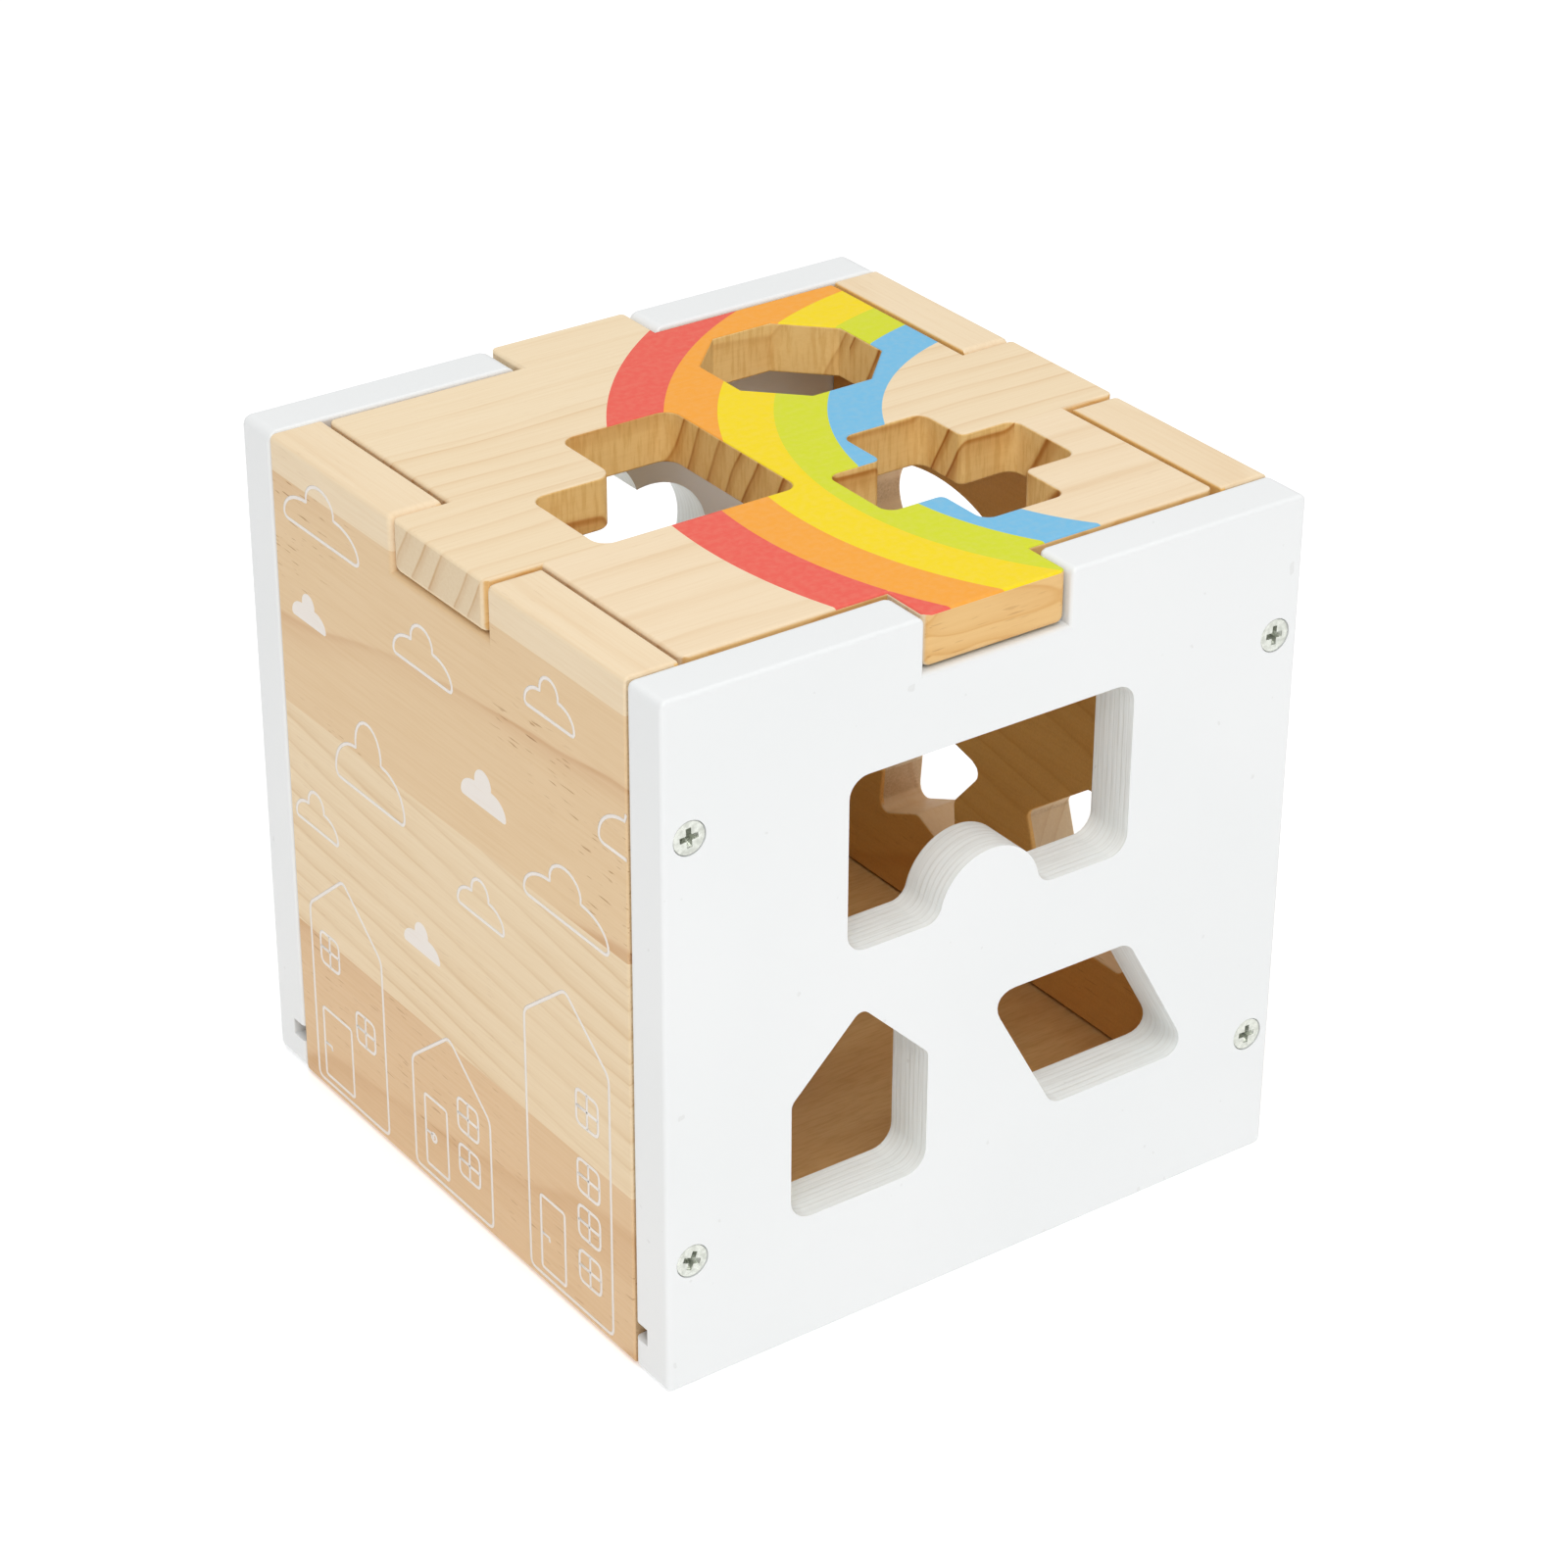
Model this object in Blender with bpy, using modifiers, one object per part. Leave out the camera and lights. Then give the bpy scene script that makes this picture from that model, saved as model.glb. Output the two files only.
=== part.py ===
"""A wooden shape sorter: a cube of two white panels and two pine panels with a lift-off lid and ten blocks."""

import math

import bmesh
import bpy
from mathutils import Matrix, Vector

MM = 0.001

# Overall size: x runs along the white panels, y from front to back.
WIDTH = 140.0 * MM
DEPTH = 140.0 * MM
HEIGHT = 140.0 * MM

# Stock and fits.
WHITE_THICK = 10.5 * MM
PINE_THICK = 11.0 * MM
LID_THICK = 10.5 * MM
BOARD_THICK = 3.0 * MM
BLOCK_THICK = 20.0 * MM
SEAT_GAP = 0.3 * MM
LID_GAP = 1.0 * MM
BLOCK_FIT = 1.0 * MM
STACK_GAP = 1.0 * MM

# Edges.
CORNER_ROUND = 1.5 * MM
EDGE_SOFTEN = 1.0 * MM
ARC_STEP = math.radians(18)

# Lid tabs and the notches that hold them.
TAB_WIDTH = 31.0 * MM
TAB_SIDE_GAP = 0.5 * MM
TAB_UNDER_GAP = 0.4 * MM

# Bottom board groove.
GROOVE_BASE = 6.7 * MM
GROOVE_DEEP = 4.0 * MM

# Wood screws.
SCREW_HEAD = 6.5 * MM
SCREW_SHANK = 3.4 * MM
SCREW_CONE = 2.4 * MM
SCREW_LENGTH = 28.0 * MM
SCREW_SUNK = 0.15 * MM
SCREW_GAP = 0.3 * MM
RECESS_SPAN = 3.7 * MM
RECESS_BLADE = 0.9 * MM
RECESS_DEEP = 1.6 * MM
RECESS_TURN = math.radians(23)
SCREW_LEVELS = (27.0 / 140, 113.0 / 140)

# Hole centres, as shares of the two sizes of the panel that each is in.
L_AT = (-24.3 / 140, 5.6 / 140)
OCTAGON_AT = (29.5 / 140, 32.7 / 140)
PLUS_AT = (25.3 / 140, -23.6 / 140)
BRIDGE_AT = (0.0, 96.0 / 140)
HOUSE_AT = (-28.1 / 140, 26.5 / 140)
SLANT_AT = (24.8 / 140, 43.9 / 140)
STAR_AT = (28.0 / 140, 44.4 / 140)
PENTAGON_AT = (-26.7 / 140, 42.6 / 140)
OVAL_AT = (25.0 / 140, 95.5 / 140)
CLOUD_AT = (-1.5 / 140, 80.0 / 140)

# Hole shapes.
L_SPAN = (42.6 * MM, 41.5 * MM)
L_STEP = (18.1 * MM, 18.3 * MM)
L_ROUND, L_INNER_ROUND = 3.0 * MM, 3.5 * MM
OCTAGON_FLATS = 33.0 * MM
PLUS_SPAN, PLUS_ARM = 43.0 * MM, 18.5 * MM
PLUS_ROUND, PLUS_INNER_ROUND = 2.5 * MM, 1.5 * MM
BRIDGE_SPAN, BRIDGE_TALL = 63.0 * MM, 35.0 * MM
BRIDGE_ROUND, BRIDGE_ARCH, BRIDGE_FOOT = 4.0 * MM, 11.2 * MM, 3.5 * MM
HOUSE_SPAN, HOUSE_EAVES, HOUSE_APEX = 30.2 * MM, 25.2 * MM, 40.0 * MM
HOUSE_FOOT_ROUND, HOUSE_ROOF_ROUND = 4.5 * MM, 2.0 * MM
SLANT_SPAN, SLANT_TALL, SLANT_LEAN = 33.1 * MM, 29.1 * MM, 16.1 * MM
SLANT_ROUND = 3.8 * MM
STAR_TIP, STAR_WAIST = 22.6 * MM, 12.6 * MM
STAR_ROUND, STAR_INNER_ROUND = 2.6 * MM, 2.0 * MM
PENTAGON_TIP, PENTAGON_ROUND = 20.2 * MM, 2.0 * MM
OVAL_SPAN, OVAL_TALL = 50.6 * MM, 29.2 * MM
CLOUD_RIGHT = (16.0 * MM, 13.5 * MM)
CLOUD_MIDDLE = (-1.5 * MM, 22.0 * MM, 15.0 * MM)
CLOUD_LEFT = (-17.5 * MM, 12.0 * MM)
CLOUD_NOOK = 2.0 * MM
CRISP_ROUND = 1.6 * MM

PLANES = {
    "xy": Matrix(((1, 0, 0), (0, 1, 0), (0, 0, 1))),
    "xz": Matrix(((1, 0, 0), (0, 0, -1), (0, 1, 0))),
    "yz": Matrix(((0, 0, 1), (1, 0, 0), (0, 1, 0))),
    "zx": Matrix(((0, 0, 1), (1, 0, 0), (0, 1, 0))),
}


def clear_scene():
    for obj in list(bpy.data.objects):
        bpy.data.objects.remove(obj, do_unlink=True)


def new_collection(name):
    made = bpy.data.collections.new(name)
    bpy.context.scene.collection.children.link(made)
    return made


def material(name, color, roughness, metallic=0.0):
    made = bpy.data.materials.new(name)
    made.use_nodes = True
    shader = made.node_tree.nodes["Principled BSDF"]
    shader.inputs["Base Color"].default_value = (*color, 1.0)
    shader.inputs["Roughness"].default_value = roughness
    shader.inputs["Metallic"].default_value = metallic
    made.diffuse_color = (*color, 1.0)
    return made


def arc(center, radius, start, end):
    """Points from one angle to the other, whichever way round that is."""
    count = max(2, math.ceil(abs(end - start) / ARC_STEP))
    return [
        (
            center[0] + radius * math.cos(start + (end - start) * i / count),
            center[1] + radius * math.sin(start + (end - start) * i / count),
        )
        for i in range(count + 1)
    ]


def rounded(corners, radii):
    """An anticlockwise outline with each corner replaced by an arc."""
    points = []
    for i, corner in enumerate(corners):
        here = Vector(corner)
        if not radii[i]:
            points.append(corner)
            continue
        before = (Vector(corners[i - 1]) - here).normalized()
        after = (Vector(corners[(i + 1) % len(corners)]) - here).normalized()
        radius = radii[i]
        half = before.angle(after) / 2
        center = here + (before + after).normalized() * (radius / math.sin(half))
        reach = radius / math.tan(half)
        first, last = here + before * reach - center, here + after * reach - center
        start = math.atan2(first.y, first.x)
        turn = (math.atan2(last.y, last.x) - start + math.pi) % math.tau - math.pi
        points += arc(center, radius, start, start + turn)
    return points


def inset(points, by):
    """The outline moved inwards by a fixed distance."""
    moved = []
    for i, point in enumerate(points):
        here = Vector(point)
        into = (here - Vector(points[i - 1])).normalized()
        out = (Vector(points[(i + 1) % len(points)]) - here).normalized()
        side = Vector((-into.y - out.y, into.x + out.x)).normalized()
        moved.append(tuple(here + side * (by / max(0.2, side.dot(Vector((-into.y, into.x)))))))
    return moved


def shifted(points, by):
    return [(x + by[0], y + by[1]) for x, y in points]


def mirrored(points):
    return [(-x, y) for x, y in reversed(points)]


def polygon(count, radius, first):
    return [
        (radius * math.cos(first + math.tau * i / count), radius * math.sin(first + math.tau * i / count))
        for i in range(count)
    ]


def l_outline():
    w, d = L_SPAN[0] / 2, L_SPAN[1] / 2
    sx, sy = -w + L_STEP[0], d - L_STEP[1]
    corners = [(-w, -d), (w, -d), (w, d), (sx, d), (sx, sy), (-w, sy)]
    return rounded(corners, [L_ROUND] * 4 + [L_INNER_ROUND, L_ROUND])


def octagon_outline():
    radius = OCTAGON_FLATS / 2 / math.cos(math.pi / 8)
    return polygon(8, radius, math.pi / 8)


def plus_outline():
    s, a = PLUS_SPAN / 2, PLUS_ARM / 2
    corners, radii = [], []
    for turn in range(4):
        c, n = round(math.cos(turn * math.pi / 2)), round(math.sin(turn * math.pi / 2))
        for x, y, radius in ((s, -a, PLUS_ROUND), (s, a, PLUS_ROUND), (a, a, PLUS_INNER_ROUND)):
            corners.append((x * c - y * n, x * n + y * c))
            radii.append(radius)
    return rounded(corners, radii)


def bridge_outline():
    s, t, r, f = BRIDGE_SPAN / 2, BRIDGE_TALL / 2, BRIDGE_ARCH, BRIDGE_FOOT
    foot_x = math.sqrt((r + f) ** 2 - f**2)
    lean = math.atan2(f, foot_x)
    bottom = -t
    left = arc((-foot_x, bottom + f), f, -math.pi / 2, -lean)
    top = arc((0, bottom), r, math.pi - lean, lean)
    right = arc((foot_x, bottom + f), f, math.pi + lean, math.pi * 1.5)
    corners = [(s, bottom), (s, t), (-s, t), (-s, bottom)]
    box = rounded(corners, [BRIDGE_ROUND] * 4)
    return left[:-1] + top + right[1:] + box


def house_outline():
    s = HOUSE_SPAN / 2
    corners = [(-s, 0), (s, 0), (s, HOUSE_EAVES), (0, HOUSE_APEX), (-s, HOUSE_EAVES)]
    return rounded(corners, [HOUSE_FOOT_ROUND] * 2 + [HOUSE_ROOF_ROUND] * 3)


def slant_outline():
    s, t, lean = SLANT_SPAN / 2, SLANT_TALL / 2, SLANT_LEAN / 2
    corners = [(lean - s, -t), (lean + s, -t), (s - lean, t), (-s - lean, t)]
    return rounded(corners, [SLANT_ROUND] * 4)


def star_outline():
    tips = polygon(5, STAR_TIP, math.pi / 2)
    waists = polygon(5, STAR_WAIST, math.pi / 2 + math.pi / 5)
    corners = [point for pair in zip(tips, waists, strict=True) for point in pair]
    return rounded(corners, [STAR_ROUND, STAR_INNER_ROUND] * 5)


def pentagon_outline():
    return rounded(polygon(5, PENTAGON_TIP, math.pi / 2), [PENTAGON_ROUND] * 5)


def oval_outline():
    steps = 40
    turns = [math.tau * i / steps for i in range(steps)]
    return [(OVAL_SPAN / 2 * math.cos(a), OVAL_TALL / 2 * math.sin(a)) for a in turns]


def nook(one, other, side):
    """Centre of the small circle that fills the nook between two lobes."""
    (ax, ay, ar), (bx, by, br) = one, other
    reach_a, reach_b = ar + CLOUD_NOOK, br + CLOUD_NOOK
    gap = math.hypot(bx - ax, by - ay)
    along = (reach_a**2 - reach_b**2 + gap**2) / (2 * gap)
    off = math.sqrt(reach_a**2 - along**2) * side
    ux, uy = (bx - ax) / gap, (by - ay) / gap
    return (ax + ux * along - uy * off, ay + uy * along + ux * off)


def angle_to(center, point):
    return math.atan2(point[1] - center[1], point[0] - center[0])


def cloud_outline():
    """Three lobes on a flat base, with the base at zero."""
    right = (CLOUD_RIGHT[0], CLOUD_RIGHT[1], CLOUD_RIGHT[1])
    left = (CLOUD_LEFT[0], CLOUD_LEFT[1], CLOUD_LEFT[1])
    middle = CLOUD_MIDDLE
    nook_r, nook_l = nook(middle, right, 1), nook(middle, left, -1)
    points = arc(right, right[2], -math.pi / 2, angle_to(right, nook_r))
    start = angle_to(nook_r, right)
    turn = (angle_to(nook_r, middle) - start + math.pi) % math.tau - math.pi
    points += arc(nook_r, CLOUD_NOOK, start, start + turn)[1:]
    start = angle_to(middle, nook_r)
    points += arc(middle, middle[2], start, start + (angle_to(middle, nook_l) - start) % math.tau)[1:]
    start = angle_to(nook_l, middle)
    turn = (angle_to(nook_l, left) - start + math.pi) % math.tau - math.pi
    points += arc(nook_l, CLOUD_NOOK, start, start + turn)[1:]
    start = angle_to(left, nook_l) % math.tau
    return points + arc(left, left[2], start, math.pi * 1.5)[1:]


def face_out(mesh):
    shape = bmesh.new()
    shape.from_mesh(mesh)
    bmesh.ops.remove_doubles(shape, verts=shape.verts, dist=1e-5)
    bmesh.ops.recalc_face_normals(shape, faces=shape.faces)
    shape.to_mesh(mesh)
    shape.free()


def prism(name, outline, low, high, plane, where):
    """A filled outline between two depths, as a mesh object in the collection."""
    curve = bpy.data.curves.new(name, "CURVE")
    curve.dimensions = "2D"
    curve.fill_mode = "BOTH"
    curve.extrude = (high - low) / 2
    spline = curve.splines.new("POLY")
    spline.points.add(len(outline) - 1)
    for point, (x, y) in zip(spline.points, outline, strict=True):
        point.co = (x, y, 0, 1)
    spline.use_cyclic_u = True
    guide = bpy.data.objects.new(name + "_guide", curve)
    bpy.context.scene.collection.objects.link(guide)
    bpy.context.view_layer.update()
    graph = bpy.context.evaluated_depsgraph_get()
    mesh = bpy.data.meshes.new_from_object(guide.evaluated_get(graph))
    bpy.data.objects.remove(guide, do_unlink=True)
    turn = PLANES[plane].to_4x4()
    mesh.transform(turn @ Matrix.Translation((0, 0, (high + low) / 2)))
    face_out(mesh)
    mesh.name = name
    mesh.materials.clear()
    obj = bpy.data.objects.new(name, mesh)
    where.objects.link(obj)
    return obj


def lathe(name, profile, where, steps=20):
    """A solid turned about y: each pair of the profile is a distance along y and a radius."""
    shape = bmesh.new()
    rings = []
    for along, radius in profile:
        spots = [math.tau * i / steps for i in range(steps)]
        rings.append([shape.verts.new((radius * math.cos(a), along, radius * math.sin(a))) for a in spots])
    for one, other in zip(rings, rings[1:], strict=False):
        for i in range(steps):
            j = (i + 1) % steps
            shape.faces.new((one[i], one[j], other[j], other[i]))
    shape.faces.new(rings[0])
    shape.faces.new(rings[-1])
    bmesh.ops.recalc_face_normals(shape, faces=shape.faces)
    mesh = bpy.data.meshes.new(name)
    shape.to_mesh(mesh)
    shape.free()
    obj = bpy.data.objects.new(name, mesh)
    where.objects.link(obj)
    return obj


def box(name, low, high, where):
    mesh = bpy.data.meshes.new(name)
    shape = bmesh.new()
    size = Vector(high) - Vector(low)
    middle = (Vector(high) + Vector(low)) / 2
    turn = Matrix.Translation(middle) @ Matrix.Diagonal((*size, 1))
    bmesh.ops.create_cube(shape, size=1.0, matrix=turn)
    shape.to_mesh(mesh)
    shape.free()
    obj = bpy.data.objects.new(name, mesh)
    where.objects.link(obj)
    return obj


def as_cutter(obj):
    obj.hide_render = True
    obj.display_type = "WIRE"
    return obj


def soften(obj, width):
    bevel = obj.modifiers.new("soft_edges", "BEVEL")
    bevel.width = width
    bevel.segments = 2
    bevel.limit_method = "ANGLE"
    bevel.angle_limit = math.radians(50)
    weld = obj.modifiers.new("no_slivers", "WELD")
    weld.merge_threshold = 0.06 * MM


def cut(obj, cutter):
    boolean = obj.modifiers.new("cut_" + cutter.name, "BOOLEAN")
    boolean.operation = "DIFFERENCE"
    boolean.solver = "EXACT"
    boolean.object = cutter


def move_origin(obj, point):
    """Keeps the shape where it is and puts the object's origin at the point."""
    obj.data.transform(Matrix.Translation(-Vector(point)))
    obj.location = point


def notched_outline(width):
    """A panel seen face on, with the notch for a lid tab in the middle of its top edge."""
    w, n = width / 2, TAB_WIDTH / 2 + TAB_SIDE_GAP
    floor = HEIGHT - LID_THICK - TAB_UNDER_GAP
    corners = [(-w, 0), (w, 0), (w, HEIGHT), (n, HEIGHT), (n, floor), (-n, floor), (-n, HEIGHT), (-w, HEIGHT)]
    return rounded(corners, [CORNER_ROUND] * 4 + [EDGE_SOFTEN] * 2 + [CORNER_ROUND] * 2)


def screw_profile(grow):
    """Radius along the screw, from the face of the head inwards."""
    head, shank = SCREW_HEAD / 2 + grow, SCREW_SHANK / 2 + grow
    lead = -1.0 * MM if grow else 0.0
    return [
        (lead, head),
        (0.2 * MM, head),
        (SCREW_CONE, shank),
        (SCREW_LENGTH - 3 * MM, shank),
        (SCREW_LENGTH + grow, 0.6 * MM + grow),
    ]


def screw_spots():
    """Name, place on the face and direction inwards of each screw."""
    x = WIDTH / 2 - PINE_THICK / 2
    for face, sign in (("front", -1), ("back", 1)):
        for side, at_x in (("left", -x), ("right", x)):
            for level, share in zip(("lower", "upper"), SCREW_LEVELS, strict=True):
                spot = (at_x, sign * (DEPTH / 2 - SCREW_SUNK), HEIGHT * share)
                yield f"screw_{face}_{side}_{level}", spot, -sign


def turned(obj, spot, inwards):
    if inwards < 0:
        obj.data.transform(Matrix.Rotation(math.pi, 4, "Z"))
    obj.location = spot
    return obj


def groove_box(name, low, high, cutters):
    return as_cutter(box(name, low, high, cutters))


def white_panel(name, sign, holes, parts, cutters, screw_cutters):
    """The front panel for sign -1, the back panel for +1."""
    inner, outer = sign * (DEPTH / 2 - WHITE_THICK), sign * DEPTH / 2
    low, high = min(-inner, -outer), max(-inner, -outer)
    panel = prism(name, notched_outline(WIDTH), low, high, "xz", parts)
    soften(panel, EDGE_SOFTEN)
    for hole, outline in holes:
        cut(panel, as_cutter(prism("cut_" + hole, outline, low - MM, high + MM, "xz", cutters)))
    top = GROOVE_BASE + BOARD_THICK + 2 * SEAT_GAP
    ends = sorted((inner - sign * MM, inner + sign * GROOVE_DEEP))
    groove = groove_box(
        "cut_groove_" + name, (-WIDTH, ends[0], GROOVE_BASE), (WIDTH, ends[1], top), cutters
    )
    cut(panel, groove)
    for cutter in screw_cutters:
        if cutter.location.y * sign > 0:
            cut(panel, cutter)
    return panel


def pine_panel(name, sign, holes, parts, cutters, screw_cutters):
    """The left panel for sign -1, the right panel for +1."""
    inner, outer = sign * (WIDTH / 2 - PINE_THICK), sign * WIDTH / 2
    low, high = min(inner, outer), max(inner, outer)
    length = DEPTH - 2 * WHITE_THICK - 2 * SEAT_GAP
    panel = prism(name, notched_outline(length), low, high, "yz", parts)
    soften(panel, EDGE_SOFTEN)
    for hole, outline in holes:
        cut(panel, as_cutter(prism("cut_" + hole, outline, low - MM, high + MM, "yz", cutters)))
    top = GROOVE_BASE + BOARD_THICK + 2 * SEAT_GAP
    ends = sorted((inner - sign * MM, inner + sign * GROOVE_DEEP))
    groove = groove_box(
        "cut_groove_" + name, (ends[0], -DEPTH, GROOVE_BASE), (ends[1], DEPTH, top), cutters
    )
    cut(panel, groove)
    for cutter in screw_cutters:
        if cutter.location.x * sign > 0:
            cut(panel, cutter)
    return panel


def bottom_board(parts):
    reach_x = WIDTH / 2 - PINE_THICK + GROOVE_DEEP - SEAT_GAP
    reach_y = DEPTH / 2 - WHITE_THICK + GROOVE_DEEP - SEAT_GAP
    base = GROOVE_BASE + SEAT_GAP
    return box("bottom_board", (-reach_x, -reach_y, base), (reach_x, reach_y, base + BOARD_THICK), parts)


def lid_outline():
    """The lid from above: a square with a tab in the middle of each side."""
    bx, by = WIDTH / 2 - PINE_THICK - LID_GAP, DEPTH / 2 - WHITE_THICK - LID_GAP
    tx, ty, t = WIDTH / 2, DEPTH / 2, TAB_WIDTH / 2
    quarter = [(tx, -t), (tx, t), (bx, t), (bx, by), (t, by), (t, ty)]
    half = quarter + [(-t, ty), (-t, by), (-bx, by), (-bx, t), (-tx, t), (-tx, -t)]
    corners = half + [(-bx, -t), (-bx, -by), (-t, -by), (-t, -ty), (t, -ty), (t, -by), (bx, -by), (bx, -t)]
    inner = 0.0
    radii = [
        inner if (abs(x), abs(y)) in ((bx, t), (t, by)) else CORNER_ROUND for x, y in corners
    ]
    return rounded(corners, radii)


def lid(holes, parts, cutters):
    low, high = HEIGHT - LID_THICK, HEIGHT
    made = prism("lid", lid_outline(), low, high, "xy", parts)
    soften(made, EDGE_SOFTEN)
    for hole, outline in holes:
        cut(made, as_cutter(prism("cut_" + hole, outline, low - MM, high + MM, "xy", cutters)))
    return made


def move_with_cutters(obj, point):
    """As move_origin, for an object whose cutters stay where they are."""
    move_origin(obj, point)


def screw(name, spot, inwards, parts, cutters):
    made = turned(lathe(name, screw_profile(0.0), parts), spot, inwards)
    s, b = RECESS_SPAN / 2, RECESS_BLADE / 2
    cross = [(s, -b), (s, b), (b, b), (b, s), (-b, s), (-b, b), (-s, b), (-s, -b)]
    cross += [(-b, -b), (-b, -s), (b, -s), (b, -b)]
    c, n = math.cos(RECESS_TURN), math.sin(RECESS_TURN)
    cross = [(x * c - y * n, x * n + y * c) for x, y in cross]
    recess = as_cutter(prism("cut_recess_" + name, cross, -RECESS_DEEP, RECESS_DEEP, "xz", cutters))
    recess.location = spot
    cut(made, recess)
    return made


def block(name, outline, plane, center, parts):
    """A block that fits its hole, with its middle at the centre given."""
    shape = inset(outline, BLOCK_FIT)
    xs, ys = [x for x, _ in shape], [y for _, y in shape]
    shape = shifted(shape, (-(min(xs) + max(xs)) / 2, -(min(ys) + max(ys)) / 2))
    made = prism(name, shape, -BLOCK_THICK / 2, BLOCK_THICK / 2, plane, parts)
    soften(made, EDGE_SOFTEN)
    made.location = center
    return made


def height_of(outline):
    ys = [y for _, y in outline]
    return max(ys) - min(ys) - 2 * BLOCK_FIT


def width_of(outline):
    xs = [x for x, _ in outline]
    return max(xs) - min(xs) - 2 * BLOCK_FIT


def blocks(outlines, parts):
    """Two stacks of four lying flat, and two blocks standing beside them."""
    floor = GROOVE_BASE + BOARD_THICK + 2 * SEAT_GAP
    left = -WIDTH / 2 + PINE_THICK + STACK_GAP
    back = DEPTH / 2 - WHITE_THICK - STACK_GAP
    pitch = BLOCK_THICK + SEAT_GAP
    stacks = (
        (
            (left + width_of(outlines["bridge"]) / 2, back - height_of(outlines["plus"]) / 2),
            ("bridge", "cloud", "plus", "l"),
        ),
        (
            (
                left + width_of(outlines["oval"]) / 2,
                back - height_of(outlines["plus"]) - STACK_GAP - height_of(outlines["star"]) / 2 - STACK_GAP,
            ),
            ("star", "slant", "oval", "pentagon"),
        ),
    )
    made = {}
    for (x, y), names in stacks:
        for layer, name in enumerate(names):
            z = floor + BLOCK_THICK / 2 + layer * pitch
            made[name] = block(f"block_{name}", outlines[name], "xy", (x, y, z), parts)
    house, octagon = outlines["house"], outlines["octagon"]
    right_of = left + width_of(outlines["bridge"]) + STACK_GAP
    spot = (right_of + width_of(house) / 2, back - BLOCK_THICK / 2, floor + height_of(house) / 2)
    made["house"] = block("block_house", house, "xz", spot, parts)
    front = -DEPTH / 2 + WHITE_THICK + STACK_GAP
    spot = (left + BLOCK_THICK / 2, front + width_of(octagon) / 2, floor + height_of(octagon) / 2)
    made["octagon"] = block("block_octagon", octagon, "yz", spot, parts)
    return made


def placed(outline, share, sizes):
    return shifted(outline, (share[0] * sizes[0], share[1] * sizes[1]))


def paint(objects, name, color, roughness, metallic=0.0):
    for obj in objects:
        obj.data.materials.append(material(f"{obj.name}_{name}", color, roughness, metallic))


def main():
    clear_scene()
    parts, cutters = new_collection("shape_sorter"), new_collection("cutters")
    cutters.hide_render = True

    outlines = {
        "l": l_outline(),
        "octagon": octagon_outline(),
        "plus": plus_outline(),
        "bridge": bridge_outline(),
        "house": house_outline(),
        "slant": slant_outline(),
        "star": star_outline(),
        "pentagon": pentagon_outline(),
        "oval": oval_outline(),
        "cloud": cloud_outline(),
    }
    plan, face, side = (WIDTH, DEPTH), (WIDTH, HEIGHT), (DEPTH, HEIGHT)
    lid_holes = [
        ("l", placed(outlines["l"], L_AT, plan)),
        ("octagon", placed(outlines["octagon"], OCTAGON_AT, plan)),
        ("plus", placed(outlines["plus"], PLUS_AT, plan)),
    ]
    front_holes = [
        ("bridge", placed(outlines["bridge"], BRIDGE_AT, face)),
        ("house", placed(outlines["house"], HOUSE_AT, face)),
        ("slant", placed(outlines["slant"], SLANT_AT, face)),
    ]
    right_holes = [
        ("star", placed(outlines["star"], STAR_AT, side)),
        ("pentagon", placed(outlines["pentagon"], PENTAGON_AT, side)),
        ("oval", placed(outlines["oval"], OVAL_AT, side)),
    ]
    back_holes = [("cloud", placed(outlines["cloud"], CLOUD_AT, face))]

    spots = list(screw_spots())
    screw_cutters = [
        as_cutter(turned(lathe("cut_" + name, screw_profile(SCREW_GAP), cutters), spot, inwards))
        for name, spot, inwards in spots
    ]
    whites = [
        white_panel("front_panel", -1, front_holes, parts, cutters, screw_cutters),
        white_panel("back_panel", 1, back_holes, parts, cutters, screw_cutters),
    ]
    pines = [
        pine_panel("left_panel", -1, [], parts, cutters, screw_cutters),
        pine_panel("right_panel", 1, right_holes, parts, cutters, screw_cutters),
    ]
    board = bottom_board(parts)
    top = lid(lid_holes, parts, cutters)
    move_with_cutters(top, (0, 0, HEIGHT - LID_THICK))
    screws = [screw(name, spot, inwards, parts, cutters) for name, spot, inwards in spots]
    loose = blocks(outlines, parts)

    paint(whites, "white_paint", (0.88, 0.89, 0.89), 0.45)
    paint([*pines, top], "pine", (0.78, 0.58, 0.36), 0.55)
    paint([board], "thin_ply", (0.62, 0.42, 0.24), 0.6)
    paint(screws, "zinc", (0.72, 0.72, 0.7), 0.3, 1.0)
    paints = {
        "red": ((0.78, 0.12, 0.09), ("bridge", "star")),
        "orange": ((0.93, 0.4, 0.08), ("slant", "plus")),
        "yellow": ((0.93, 0.68, 0.03), ("pentagon", "octagon")),
        "lime": ((0.6, 0.7, 0.08), ("l", "house")),
        "blue": ((0.16, 0.48, 0.78), ("oval", "cloud")),
    }
    for name, (color, shapes) in paints.items():
        paint([loose[shape] for shape in shapes], f"{name}_paint", color, 0.4)
    bpy.context.view_layer.update()


main()
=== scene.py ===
"""Shape sorter: a white and pine cube with a rainbow lid, printed houses and ten painted blocks."""

import logging
import math
from collections.abc import Callable, Iterator, Sequence
from dataclasses import dataclass
from enum import Enum
from functools import cached_property
from typing import ClassVar

import bpy
from mathutils import Matrix, Vector


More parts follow.
